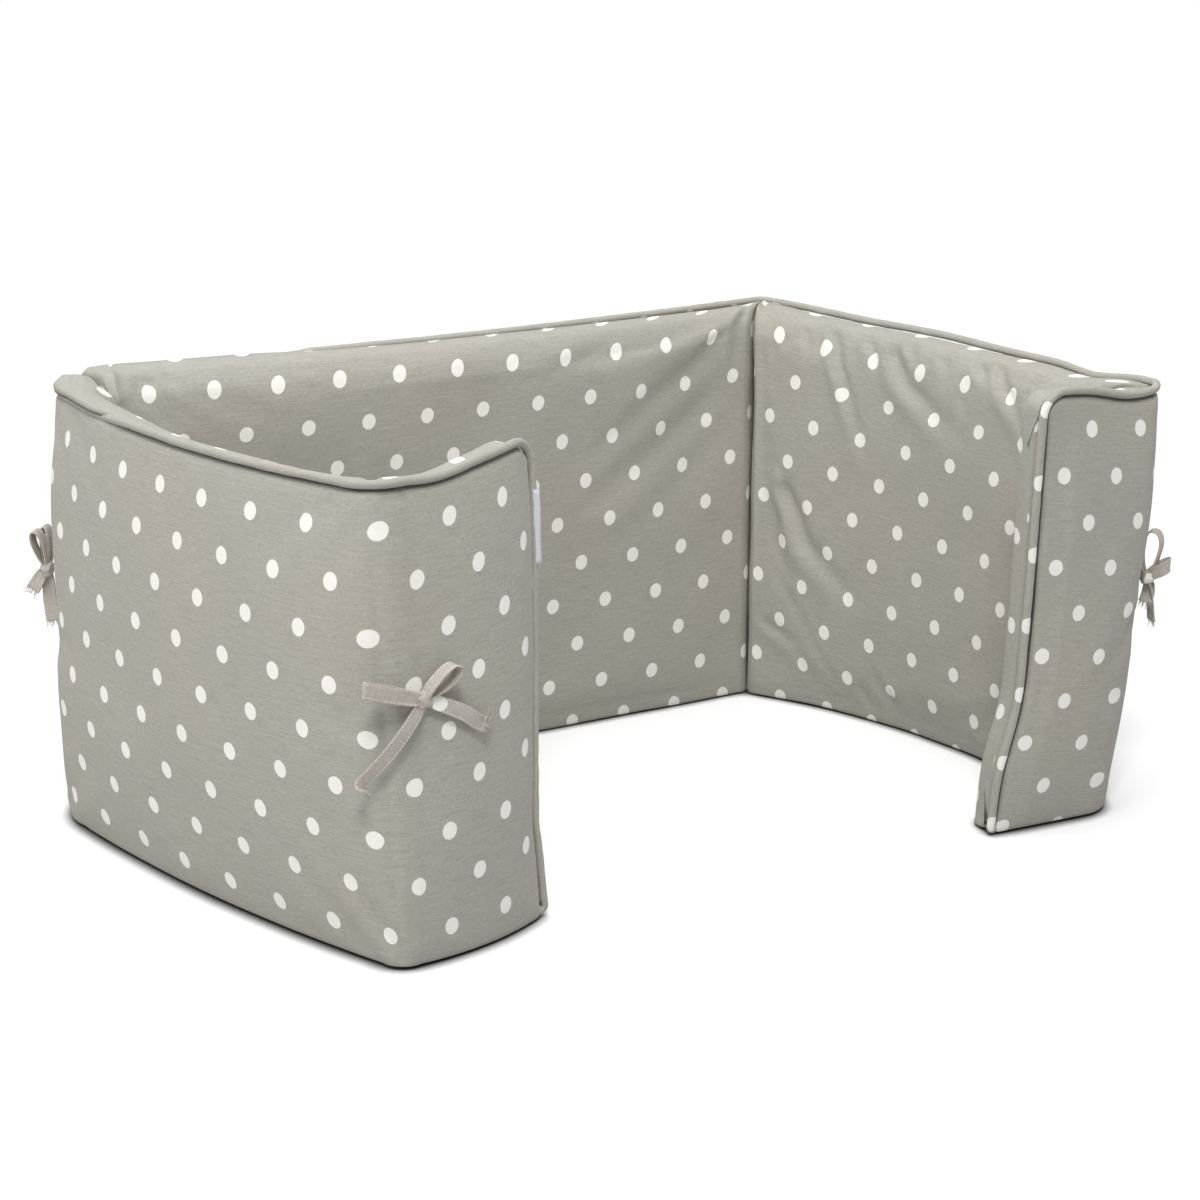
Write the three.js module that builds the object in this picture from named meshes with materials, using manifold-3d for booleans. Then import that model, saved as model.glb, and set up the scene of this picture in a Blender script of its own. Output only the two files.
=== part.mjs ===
// Dog crate bumper: a long padded strip that stands on edge in a U, covered in spotted cotton, with
// piping round its outer face, a sewn crease at each back corner, four pairs of ties in bows and a
// small blank tag. Millimetres, +Z up, the doorway towards -Y, origin under the middle of the box.
import * as THREE from 'three';
import { mergeVertices } from 'three/addons/utils/BufferGeometryUtils.js';
import Module from 'manifold-3d';

const wasm = await Module();
wasm.setup();

// ---- driving sizes ----
const RIM_HEIGHT = 283;        // top edge of the outer face, at the piping seam
const THICKNESS = 29;          // from the rim's plane to the inner face at mid height
const OUTER_CROWN = 8;         // how far the outer face swells past its rim
const TOP_SWELL = 6;           // how far the stuffed top stands above the rim
const EDGE_ROUND = 20;         // height over which the inner cover rolls into top and base
const PIPING_RADIUS = 3;
const PIPING_INSET = 2.2;      // piping centre, inwards from the rim's plane
const PIPING_SEAT = 7;         // width of the ledge that the piping lies on
const GAP = 0.3;               // clearance between pieces
const LIP = 2 * PIPING_RADIUS + GAP;    // lower edge of the outer face, above the base piping
const PIPING_LIFT = PIPING_RADIUS + GAP + 0.2;  // piping centre, out from the edge of the outer face
const END_ROUND = { top: 18, foot: 9 }; // corner radii of the outer face at its free ends
const SEAM_LEFT = 6;           // stuffing left under a sewn crease at a back corner
const BEND_LEFT = 20;          // stuffing left where the strip only bends, at a front corner
const CORNER_DEPTH = 34;       // least depth of the strip across a corner, beside its crease
const TIE = { width: 10, thickness: 1.8, lap: 0.3 };    // lap: between the two ends of a loop
const BOW_HEIGHT = 162;
const KNOT = { along: 6.5, up: 6, out: 5 };    // half sizes of a knot
const TAG = { width: 9.5, thickness: 1, bottom: 213, top: 257, start: 1 };
const BEND_STEPS = 6;          // steps of the strip round each corner
const FACE_STEPS = 6;          // rows up the outer face
const LINING_STEPS = 5;        // rows down the inner face

const CLOTH = { color: 0xa19b94, roughness: 0.9, metalness: 0 };
const TIE_CLOTH = { color: 0xaba59e, roughness: 0.9, metalness: 0 };
const TAG_CLOTH = { color: 0xd5d3dd, roughness: 0.8, metalness: 0 };

// Outer rim in plan, at the foot and at the top: the two free ends and four corners with their bend
// radii, the stuffing left in each corner's crease, and how far the rim stands above RIM_HEIGHT there.
const CORNERS = [
  { name: 'left_end', foot: [-141, -125], top: [-125, -86], lift: 2 },
  {
    name: 'left_front', foot: [-250, -137], top: [-255, -124], lift: 0,
    footRadius: 18, topRadius: 24, left: BEND_LEFT,
  },
  {
    name: 'left_back', foot: [-316, 226], top: [-295, 235], lift: 3,
    footRadius: 44, topRadius: 50, left: SEAM_LEFT,
  },
  {
    name: 'right_back', foot: [242, 122], top: [279, 157], lift: 2,
    footRadius: 8, topRadius: 10, left: SEAM_LEFT,
  },
  {
    name: 'right_front', foot: [285, -229], top: [281, -226], lift: 6,
    footRadius: 30, topRadius: 15, left: BEND_LEFT,
  },
  { name: 'right_end', foot: [172, -203], top: [184, -214], lift: 9 },
];
// The five panels between them: outward bow at foot and top, and the number of straight steps.
const PANELS = [
  { name: 'left_flap', footBow: 6, topBow: 7, steps: 5 },
  { name: 'left_side', footBow: 9, topBow: 17, steps: 9 },
  { name: 'back', footBow: -5, topBow: -15, steps: 12 },
  { name: 'right_side', footBow: 24, topBow: 16, steps: 9 },
  { name: 'right_flap', footBow: 0, topBow: 0, steps: 5 },
];
// A crease in the inner cover, from its mouth to its bottom: part of its depth, and half width.
const CREASE = {
  mouth: { depth: 0, half: 16 },
  lip: { depth: 0.08, half: 5 },
  wall: { depth: 0.55, half: 1.6 },
  bottom: { depth: 1, half: 0 },
};
// The cover from the piping's ledge over the top: part of the way across to the inner face, then its
// height as a part of the swell above the rim, less a part of the rounded edge.
const TOP_ROLL = [
  { across: 0.12, swell: 0.75, fall: 0 },
  { across: 0.36, swell: 1, fall: 0 },
  { across: 0.7, swell: 0.3, fall: 0 },
  { across: 0.92, swell: 0, fall: 0.35 },
];
const BASE_ROLL = { across: 0.92, rise: 0.35, flat: 0.72 };
// Rings of the pad at a free end: distances from the end on the outer face, and past it the stuffed
// end alone, with the part of the thickness that is left there.
const END_RINGS = [0, 2.5, 6, 11, END_ROUND.top];
const PROUD_RINGS = [
  { beyond: 0.3, thin: 0.84 },
  { beyond: 3.5, thin: 0.78 },
  { beyond: 5.5, thin: 0.66 },
];
const END_PROUD = PROUD_RINGS[PROUD_RINGS.length - 1].beyond;
const END_THIN = 0.86;         // part of the thickness left at the edge of the outer face

// ---- plan geometry ----
const vec = ([x, y]) => new THREE.Vector2(x, y);
const outwards = (d) => new THREE.Vector2(-d.y, d.x).normalize();

// Tangent points, centre and bisector of a bend of the given radius.
function bendAt(before, corner, after, radius) {
  const back = before.clone().sub(corner).normalize();
  const on = after.clone().sub(corner).normalize();
  const half = Math.acos(THREE.MathUtils.clamp(back.dot(on), -1, 1)) / 2;
  const bisector = back.clone().add(on).normalize();
  const reach = radius / Math.tan(half);
  return {
    start: corner.clone().addScaledVector(back, reach),
    end: corner.clone().addScaledVector(on, reach),
    centre: corner.clone().addScaledVector(bisector, radius / Math.sin(half)),
    back, on, half, bisector, radius,
  };
}

function straightRun(from, to, bow, steps) {
  const normal = outwards(to.clone().sub(from));
  return Array.from({ length: steps + 1 }, (_, i) => {
    const t = i / steps;
    return from.clone().lerp(to, t).addScaledVector(normal, 4 * t * (1 - t) * bow);
  });
}

function arcPoints(bend) {
  const from = bend.start.clone().sub(bend.centre).angle();
  let turn = bend.end.clone().sub(bend.centre).angle() - from;
  turn = ((turn + Math.PI) % (2 * Math.PI) + 2 * Math.PI) % (2 * Math.PI) - Math.PI;
  return Array.from({ length: BEND_STEPS - 1 }, (_, i) => {
    const a = from + turn * (i + 1) / BEND_STEPS;
    return new THREE.Vector2(Math.cos(a), Math.sin(a)).multiplyScalar(bend.radius).add(bend.centre);
  });
}

// The bend at each corner of the strip, and none at its free ends.
function bendsOf(corner, level) {
  return corner.map((p, i) => (CORNERS[i].left
    ? bendAt(corner[i - 1], p, corner[i + 1], CORNERS[i][`${level}Radius`]) : null));
}

// The outer rim line at the foot or at the top.
function outerLine(level) {
  const corner = CORNERS.map((c) => vec(c[level]));
  const bends = bendsOf(corner, level);
  const points = [];
  PANELS.forEach((panel, i) => {
    const from = bends[i] ? bends[i].end : corner[i];
    const to = bends[i + 1] ? bends[i + 1].start : corner[i + 1];
    points.push(...straightRun(from, to, panel[`${level}Bow`], panel.steps));
    if (bends[i + 1]) points.push(...arcPoints(bends[i + 1]));
  });
  return points;
}

// The inner cover's line: the same corners moved in by the thickness, with a crease in each of them.
function innerLine(level) {
  const corner = CORNERS.map((c) => vec(c[level]));
  const side = (i) => outwards(corner[i + 1].clone().sub(corner[i])).negate();
  const bends = bendsOf(corner, level);
  const inner = corner.map((p, i) => (bends[i]
    ? p.clone().addScaledVector(bends[i].bisector, THICKNESS / Math.sin(bends[i].half))
    : p.clone().addScaledVector(side(Math.min(i, PANELS.length - 1)), THICKNESS)));
  const outermost = (i) => bends[i].centre.clone().addScaledVector(bends[i].bisector, -bends[i].radius);
  const filledOut = (i) => Math.max(0, CORNER_DEPTH - inner[i].distanceTo(outermost(i)));
  const mouth = (i) => (bends[i] ? CREASE.mouth.half + filledOut(i) : 0);
  const points = [];
  PANELS.forEach((panel, i) => {
    const along = inner[i + 1].clone().sub(inner[i]).normalize();
    const from = inner[i].clone().addScaledVector(along, mouth(i));
    const to = inner[i + 1].clone().addScaledVector(along, -mouth(i + 1));
    points.push(...straightRun(from, to, panel[`${level}Bow`], panel.steps));
    const bend = bends[i + 1];
    if (!bend) return;
    const lipPoint = inner[i + 1].clone().addScaledVector(bend.bisector, filledOut(i + 1));
    const drop = lipPoint.distanceTo(outermost(i + 1)) - CORNERS[i + 1].left;
    const creasePoint = ({ depth, half }, arm) => lipPoint.clone()
      .addScaledVector(bend.bisector, -depth * drop)
      .addScaledVector(arm, half);
    points.push(
      ...[CREASE.lip, CREASE.wall, CREASE.bottom].map((row) => creasePoint(row, bend.back)),
      ...[CREASE.wall, CREASE.lip].map((row) => creasePoint(row, bend.on)),
    );
  });
  return points;
}

const OUTER = { foot: outerLine('foot'), top: outerLine('top') };
const INNER = { foot: innerLine('foot'), top: innerLine('top') };
const LAST = OUTER.foot.length - 1;

const runningLength = OUTER.foot.reduce((lengths, p, i) => {
  const q = OUTER.top[i];
  const before = i ? lengths[i - 1] : 0;
  const step = i
    ? p.clone().add(q).sub(OUTER.foot[i - 1]).sub(OUTER.top[i - 1]).length() / 2 : 0;
  return [...lengths, before + step];
}, []);

// A place along the strip, from 0 at the left free end to LAST at the right one.
function pointOn(lines, at, z) {
  const i = Math.min(Math.floor(at), LAST - 1);
  const blend = (line) => line[i].clone().lerp(line[i + 1], at - i);
  return blend(lines.foot).lerp(blend(lines.top), z / RIM_HEIGHT);
}

function placeAt(length) {
  const i = Math.max(1, runningLength.findIndex((l) => l >= length));
  return i - 1 + (length - runningLength[i - 1]) / (runningLength[i] - runningLength[i - 1]);
}

// Index of the middle of a corner's bend along the strip.
function bendPlace(corner) {
  const before = PANELS.slice(0, corner).reduce((sum, panel) => sum + panel.steps, 0);
  return before + corner * BEND_STEPS - BEND_STEPS / 2;
}

// Height of the rim at a place: RIM_HEIGHT and the lifts of the corners on either side of it.
function rimHeight(at) {
  const places = CORNERS.map((c, i) => (c.left ? bendPlace(i) : (i && LAST)));
  const next = Math.max(1, places.findIndex((place) => place >= at));
  const t = THREE.MathUtils.smoothstep(at, places[next - 1], places[next]);
  return RIM_HEIGHT + THREE.MathUtils.lerp(CORNERS[next - 1].lift, CORNERS[next].lift, t);
}

const swell = (t) => 1 - Math.abs(2 * t - 1) ** 2.5;

// ---- cross-section of the pad ----
// How far the rounded corner of the outer face cuts in at a distance from the free end.
function cornerCut(fromEnd, radius) {
  if (fromEnd >= radius) return 0;
  const x = radius - Math.max(fromEnd, 0);
  return radius - Math.sqrt(Math.max(radius * radius - x * x, 0));
}

// One closed ring of the pad. A row is either a distance in from the rim or a part of the way across
// from the piping's ledge to the inner cover, with its height.
function padSection(full, height, fromEnd, shell) {
  const cutTop = cornerCut(fromEnd, END_ROUND.top);
  const cutFoot = cornerCut(fromEnd, END_ROUND.foot);
  const softTop = cornerCut(fromEnd + END_PROUD, END_ROUND.top);
  const softFoot = cornerCut(fromEnd + END_PROUD, END_ROUND.foot);
  const lip = LIP + cutFoot;
  const rim = height - cutTop;
  const high = height - EDGE_ROUND - softTop;
  const low = EDGE_ROUND + softFoot;
  const closing = Math.min(1, 0.2 + Math.max(fromEnd, 0) / EDGE_ROUND);
  const face = Array.from({ length: FACE_STEPS + 1 }, (_, i) => ({
    edge: shell ? -OUTER_CROWN * swell(i / FACE_STEPS) * full * closing : PIPING_SEAT,
    z: THREE.MathUtils.lerp(lip, rim, i / FACE_STEPS),
  }));
  const over = TOP_ROLL.map((row) => ({
    across: row.across,
    z: height + row.swell * TOP_SWELL * full - row.fall * EDGE_ROUND - softTop,
  }));
  const lining = Array.from({ length: LINING_STEPS + 1 }, (_, i) => ({
    across: 1,
    z: THREE.MathUtils.lerp(high, low, i / LINING_STEPS),
  }));
  return [
    ...face,
    { edge: PIPING_SEAT, z: rim + 0.2 * full },
    ...over,
    ...lining,
    { across: BASE_ROLL.across, z: BASE_ROLL.rise * EDGE_ROUND + softFoot },
    { across: BASE_ROLL.flat, z: softFoot },
    { edge: PIPING_SEAT, z: softFoot },
    { edge: PIPING_SEAT, z: lip - 0.2 },
  ];
}

// Joins rings of equal length into one closed body with a flat cap at each end.
function loft(rings) {
  const size = rings[0].length;
  const position = rings.flat(2);
  const index = [];
  for (let r = 0; r + 1 < rings.length; r += 1) {
    for (let i = 0; i < size; i += 1) {
      const j = (i + 1) % size;
      const [a, b, c, d] = [r * size + i, r * size + j, (r + 1) * size + i, (r + 1) * size + j];
      index.push(a, b, c, b, d, c);
    }
  }
  const cap = (ring, start, flip) => {
    const [u, w] = capAxes(ring);
    const outline = ring.map((p) => new THREE.Vector2(dot(p, u), dot(p, w)));
    THREE.ShapeUtils.triangulateShape(outline, []).forEach((face) => {
      const [a, b, c] = face.map((i) => start + i);
      index.push(...(flip ? [a, c, b] : [a, b, c]));
    });
  };
  cap(rings[0], 0, true);
  cap(rings[rings.length - 1], (rings.length - 1) * size, false);
  const geometry = new THREE.BufferGeometry();
  geometry.setAttribute('position', new THREE.Float32BufferAttribute(position, 3));
  geometry.setIndex(index);
  return faceOutwards(geometry);
}

const dot = (a, b) => a[0] * b[0] + a[1] * b[1] + a[2] * b[2];

// Two axes of a ring's plane, from its area vector.
function capAxes(ring) {
  const area = new THREE.Vector3();
  ring.forEach((p, i) => {
    const q = ring[(i + 1) % ring.length];
    area.add(new THREE.Vector3(...p).cross(new THREE.Vector3(...q)));
  });
  area.normalize();
  const helper = Math.abs(area.z) < 0.9 ? new THREE.Vector3(0, 0, 1) : new THREE.Vector3(1, 0, 0);
  const u = helper.cross(area).normalize();
  const w = area.clone().cross(u);
  return [u.toArray(), w.toArray()];
}

function signedVolume(geometry) {
  const p = geometry.getAttribute('position');
  const index = geometry.getIndex().array;
  const corner = [new THREE.Vector3(), new THREE.Vector3(), new THREE.Vector3()];
  let total = 0;
  for (let i = 0; i < index.length; i += 3) {
    corner.forEach((c, k) => c.fromBufferAttribute(p, index[i + k]));
    total += corner[0].dot(corner[1].cross(corner[2])) / 6;
  }
  return total;
}

function faceOutwards(geometry) {
  if (signedVolume(geometry) < 0) {
    const index = geometry.getIndex().array;
    for (let i = 0; i < index.length; i += 3) [index[i], index[i + 1]] = [index[i + 1], index[i]];
  }
  return geometry;
}

// Stations of the pad: its own rows along the strip, and extra ones where the free ends round off.
function padStations() {
  const total = runningLength[LAST];
  const closeIn = (fromEnd) => END_THIN + (1 - END_THIN) * Math.min(1, fromEnd / END_ROUND.top);
  const left = [
    ...PROUD_RINGS.map(({ beyond, thin }) => (
      { at: 0, shift: -beyond, fromEnd: -beyond, thin, shell: false })).reverse(),
    ...END_RINGS.map((fromEnd) => (
      { at: placeAt(fromEnd), shift: 0, fromEnd, thin: closeIn(fromEnd), shell: true })),
  ];
  const right = left.map((station) => ({
    ...station,
    at: station.shell ? placeAt(total - station.fromEnd) : LAST,
    shift: -station.shift,
  })).reverse();
  const between = runningLength
    .map((length, at) => ({ at, shift: 0, fromEnd: Math.min(length, total - length), thin: 1, shell: true }))
    .filter(({ fromEnd }) => fromEnd > END_ROUND.top + 4);
  return [...left, ...between, ...right];
}

// Frame of the strip at a place: the rim, its inward normal, the way along and the inner cover.
function stripAxes(at, z) {
  const step = 0.05;
  const ahead = pointOn(OUTER, Math.min(at + step, LAST), z);
  const along = ahead.sub(pointOn(OUTER, Math.max(at - step, 0), z)).normalize();
  const inside = outwards(along).negate();
  return { rim: pointOn(OUTER, at, z), cover: pointOn(INNER, at, z), along, inside };
}

// How well filled the strip is at a place: 1 along the panels, less in a corner's crease.
function filling(at) {
  const middle = stripAxes(at, RIM_HEIGHT / 2);
  return Math.min(1, middle.rim.distanceTo(middle.cover) / THICKNESS);
}

function padRing({ at, shift, fromEnd, thin, shell }) {
  const height = rimHeight(at);
  const level = (z) => THREE.MathUtils.clamp(z, 0, height);
  const full = filling(at);
  return padSection(full, height, fromEnd, shell).map(({ edge, across, z }) => {
    const { rim, along, inside, cover } = stripAxes(at, level(z));
    const ledge = rim.clone().addScaledVector(inside, PIPING_SEAT);
    const p = across === undefined
      ? rim.clone().addScaledVector(inside, edge)
      : ledge.lerp(rim.clone().lerp(cover, thin), across);
    p.addScaledVector(along, shift);
    return [p.x, p.y, z];
  });
}

// ---- piping ----
// The piping runs along the top, down the right end, back along the foot and up the left end.
class RimCurve extends THREE.Curve {
  constructor(points) {
    super();
    this.points = points;
  }

  getPoint(t) {
    const x = t * (this.points.length - 1);
    const i = Math.min(Math.floor(x), this.points.length - 2);
    return this.points[i].clone().lerp(this.points[i + 1], x - i);
  }

  getPointAt(t) {
    return this.getPoint(t);
  }

  getTangentAt(t) {
    const half = 0.5 / (this.points.length - 1);
    const ahead = this.getPoint(Math.min(t + half, 1));
    return ahead.sub(this.getPoint(Math.max(t - half, 0))).normalize();
  }
}

function pipingPoint(at, z, shift) {
  const { rim, inside, along } = stripAxes(at, THREE.MathUtils.clamp(z, 0, rimHeight(at)));
  const p = rim.addScaledVector(inside, PIPING_INSET).addScaledVector(along, shift);
  return new THREE.Vector3(p.x, p.y, z);
}

// Quarter turn of the piping round one corner of the outer face, from the long edge to the end.
function cornerTurn(end, level) {
  const radius = END_ROUND[level];
  const up = level === 'top' ? 1 : -1;
  const total = runningLength[LAST];
  const steps = level === 'top' ? 5 : 3;
  return Array.from({ length: steps + 1 }, (_, i) => {
    const a = i / steps * Math.PI / 2;
    const reach = radius + PIPING_LIFT;
    const fromEnd = radius - reach * Math.sin(a);
    const inner = Math.max(fromEnd, 0);
    const at = end === 'left' ? placeAt(inner) : placeAt(total - inner);
    const shift = Math.min(fromEnd, 0) * (end === 'left' ? 1 : -1);
    const edge = level === 'top' ? rimHeight(at) : LIP;
    return pipingPoint(at, edge + up * (reach * Math.cos(a) - radius), shift);
  });
}

function pipingLoop() {
  const run = [];
  for (let i = 0; i <= LAST; i += 1) {
    const fromEnd = Math.min(runningLength[i], runningLength[LAST] - runningLength[i]);
    if (fromEnd > END_ROUND.top + 8) run.push(i);
  }
  const upright = (at, shift) => [0.2, 0.4, 0.6, 0.8].map((t) => {
    const low = LIP + END_ROUND.foot;
    const high = rimHeight(at) - END_ROUND.top;
    return pipingPoint(at, low + (high - low) * t, shift);
  });
  const seamAt = Math.round(LAST / 2);
  const foot = run.map((i) => pipingPoint(i, PIPING_RADIUS, 0)).reverse();
  const join = run.length - 1 - run.indexOf(seamAt);
  const cut = foot[join].clone().lerp(foot[join - 1], GAP / foot[join].distanceTo(foot[join - 1]));
  return [
    cut,
    ...foot.slice(0, join).reverse(),
    ...cornerTurn('right', 'foot'),
    ...upright(LAST, PIPING_LIFT),
    ...cornerTurn('right', 'top').reverse(),
    ...run.map((i) => pipingPoint(i, rimHeight(i) + PIPING_LIFT, 0)).reverse(),
    ...cornerTurn('left', 'top'),
    ...upright(0, -PIPING_LIFT).reverse(),
    ...cornerTurn('left', 'foot').reverse(),
    ...foot.slice(join).reverse(),
  ];
}

function pipingGeometry() {
  const section = new THREE.Shape();
  for (let i = 0; i < 6; i += 1) {
    const a = (i + 0.5) / 6 * 2 * Math.PI;
    const corner = [PIPING_RADIUS * Math.cos(a), PIPING_RADIUS * Math.sin(a)];
    if (i) section.lineTo(...corner);
    else section.moveTo(...corner);
  }
  const points = pipingLoop();
  return new THREE.ExtrudeGeometry(section, {
    steps: points.length - 1, extrudePath: new RimCurve(points), bevelEnabled: false,
  });
}

// ---- ties ----
// Each bow: its place before or after a corner, how much deeper than on a plain panel it sits on the
// bent face there, the tips of its two loops with how far each one opens, and its tails as points from
// the knot. Columns: across to the right seen from outside, up, and out.
const BOWS = [
  {
    name: 'tie_front_left', corner: 1, offset: -22, deeper: 0.4,
    loops: [
      { across: -44, up: 17, out: -3, open: 5, flat: 'up' },
      { across: 20, up: 20, out: 9, open: 8, flat: 'out' },
    ],
    tails: [
      [{ across: 14, up: -6, out: 4 }, { across: 28, up: -13, out: 8 }, { across: 42, up: -22, out: 12 }],
      [
        { across: -15, up: -13, out: 2 }, { across: -31, up: -26, out: -2 },
        { across: -44, up: -40, out: -13 },
      ],
    ],
  },
  {
    name: 'tie_back_left', corner: 2, offset: 4, deeper: -0.75,
    loops: [
      { across: 13, up: 27, out: 8, open: 6, flat: 'out' },
      { across: -15, up: 24, out: 4, open: 6, flat: 'out' },
    ],
    tails: [
      [{ across: 5, up: -6, out: 5 }, { across: 9, up: -12, out: 10 }, { across: 11, up: -18, out: 15 }],
      [{ across: -3, up: -15, out: 3 }, { across: -5, up: -30, out: 4 }, { across: -6, up: -45, out: 3 }],
    ],
  },
  {
    name: 'tie_back_right', corner: 3, offset: -12, deeper: 0,
    loops: [
      { across: -32, up: 12, out: 6, open: 6, flat: 'up' },
      { across: 26, up: 18, out: 3, open: 7, flat: 'out' },
    ],
    tails: [
      [{ across: 9, up: -14, out: 3 }, { across: 16, up: -29, out: 4 }, { across: 22, up: -45, out: 3 }],
      [{ across: -10, up: -14, out: 4 }, { across: -19, up: -29, out: 6 }, { across: -27, up: -43, out: 6 }],
    ],
  },
  {
    name: 'tie_front_right', corner: 4, offset: -9, deeper: 0.55,
    loops: [
      { across: 9, up: 26, out: 10, open: 7, flat: 'across' },
      { across: -20, up: 7, out: 9, open: 6, flat: 'up' },
    ],
    tails: [
      [{ across: 1, up: -13, out: 5 }, { across: 2, up: -26, out: 6 }, { across: 2, up: -39, out: 7 }],
      [{ across: 7, up: -9, out: 4 }, { across: 13, up: -17, out: 5 }, { across: 18, up: -25, out: 5 }],
    ],
  },
];
const WAYS = {
  across: new THREE.Vector3(1, 0, 0), up: new THREE.Vector3(0, 1, 0), out: new THREE.Vector3(0, 0, 1),
};

const away = ({ across, up, out }) => new THREE.Vector3(across, up, out);

// A flat tie along a run of points, its width held across the given way.
function ribbon(points, way, steps) {
  const curve = new THREE.CatmullRomCurve3(points, false, 'centripetal');
  const rings = [];
  for (let i = 0; i <= steps; i += 1) {
    const p = curve.getPointAt(i / steps);
    const along = curve.getTangentAt(i / steps);
    const wide = way.clone().addScaledVector(along, -way.dot(along)).normalize();
    const thick = along.clone().cross(wide);
    const corner = (x, y) => p.clone().addScaledVector(wide, x * TIE.width / 2)
      .addScaledVector(thick, y * TIE.thickness / 2).toArray();
    rings.push([corner(-1, -1), corner(1, -1), corner(1, 1), corner(-1, 1)]);
  }
  return loft(rings);
}

function tieLoop({ open, flat, ...tip }) {
  const end = away(tip);
  const side = end.clone().cross(WAYS[flat]).normalize();
  const at = (part, spread) => end.clone().multiplyScalar(part).addScaledVector(side, spread);
  const half = open / 2;
  const run = [
    at(0, 0), at(0.45, half), at(0.85, half), at(1, 0),
    at(0.85, -half), at(0.45, -half), at(0, -TIE.lap),
  ];
  return ribbon(run, WAYS[flat], 12);
}

function tieTail(points) {
  const run = [new THREE.Vector3(), ...points.map(away)];
  const end = run[run.length - 1];
  const way = end.clone().cross(WAYS.out).normalize();
  return ribbon(run, way, 5);
}

function asSolid(geometry) {
  const bare = geometry.clone();
  bare.deleteAttribute('normal');
  bare.deleteAttribute('uv');
  const merged = mergeVertices(bare);
  return new wasm.Manifold(new wasm.Mesh({
    numProp: 3,
    vertProperties: new Float32Array(merged.getAttribute('position').array),
    triVerts: new Uint32Array(merged.getIndex().array),
  }));
}

function asGeometry(solid) {
  const mesh = solid.getMesh();
  const geometry = new THREE.BufferGeometry();
  geometry.setAttribute('position', new THREE.BufferAttribute(mesh.vertProperties, 3));
  geometry.setIndex(new THREE.BufferAttribute(mesh.triVerts, 1));
  return geometry;
}

function bowGeometry(bow) {
  const knot = new THREE.SphereGeometry(1, 10, 8).scale(KNOT.along, KNOT.up, KNOT.out);
  const strands = [...bow.loops.map(tieLoop), ...bow.tails.map(tieTail)];
  const tied = strands.reduce((solid, strand) => solid.add(asSolid(strand)), asSolid(knot));
  const [outside] = tied.decompose().sort((a, b) => b.volume() - a.volume());
  return asGeometry(outside);
}

// Sets a bow on the outer face: local across, up and out become directions of the strip.
function placeBow(mesh, bow) {
  const at = placeAt(runningLength[bendPlace(bow.corner)] + bow.offset);
  const { rim, along, inside } = stripAxes(at, BOW_HEIGHT);
  const out = inside.clone().negate();
  const crown = OUTER_CROWN * swell(BOW_HEIGHT / rimHeight(at)) * filling(at);
  const centre = rim.addScaledVector(out, crown + GAP + KNOT.out - bow.deeper);
  const across = new THREE.Vector3(-along.x, -along.y, 0);
  const up = new THREE.Vector3(0, 0, 1);
  const turn = new THREE.Matrix4().makeBasis(across, up, new THREE.Vector3(out.x, out.y, 0));
  mesh.quaternion.setFromRotationMatrix(turn);
  mesh.position.set(centre.x, centre.y, BOW_HEIGHT);
}

// ---- tag ----
// The small folded tag in the seam of the left free end, standing out past the piping.
function tagGeometry() {
  const near = PIPING_INSET + PIPING_RADIUS + GAP;
  const rings = [0, 1, 2, 3, 4].map((i) => {
    const z = TAG.bottom + (TAG.top - TAG.bottom) * i / 4;
    const { rim, along, inside } = stripAxes(0, z);
    const corner = (depth, beyond) => {
      const p = rim.clone().addScaledVector(inside, depth).addScaledVector(along, -beyond);
      return [p.x, p.y, z];
    };
    const far = near + TAG.thickness;
    const tip = TAG.start + TAG.width;
    return [corner(near, TAG.start), corner(far, TAG.start), corner(far, tip), corner(near, tip)];
  });
  return loft(rings);
}

// ---- scene graph ----
const bumper = new THREE.Group();

function addPiece(name, geometry, look) {
  const mesh = new THREE.Mesh(geometry, new THREE.MeshStandardMaterial(look));
  mesh.name = name;
  bumper.add(mesh);
  return mesh;
}

addPiece('pad', loft(padStations().map(padRing)), CLOTH);
addPiece('piping', pipingGeometry(), CLOTH);
BOWS.forEach((bow) => placeBow(addPiece(bow.name, bowGeometry(bow), TIE_CLOTH), bow));
addPiece('tag', tagGeometry(), TAG_CLOTH);

// The origin goes under the middle of the whole, on the surface that it stands on.
const box = new THREE.Box3().setFromObject(bumper, true);
const middle = box.getCenter(new THREE.Vector3());
bumper.position.set(-middle.x, -middle.y, -box.min.z);

export default bumper;
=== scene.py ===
# Dresses the dog crate bumper: the padded strip as simulated cloth over its filling, the piping, the
# bows with their stitching and frayed ends, the blank tag, and a plain studio round them.
import math

import bmesh
import bpy
import numpy as np
from mathutils import Matrix, Vector, noise
from mathutils.bvhtree import BVHTree


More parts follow.
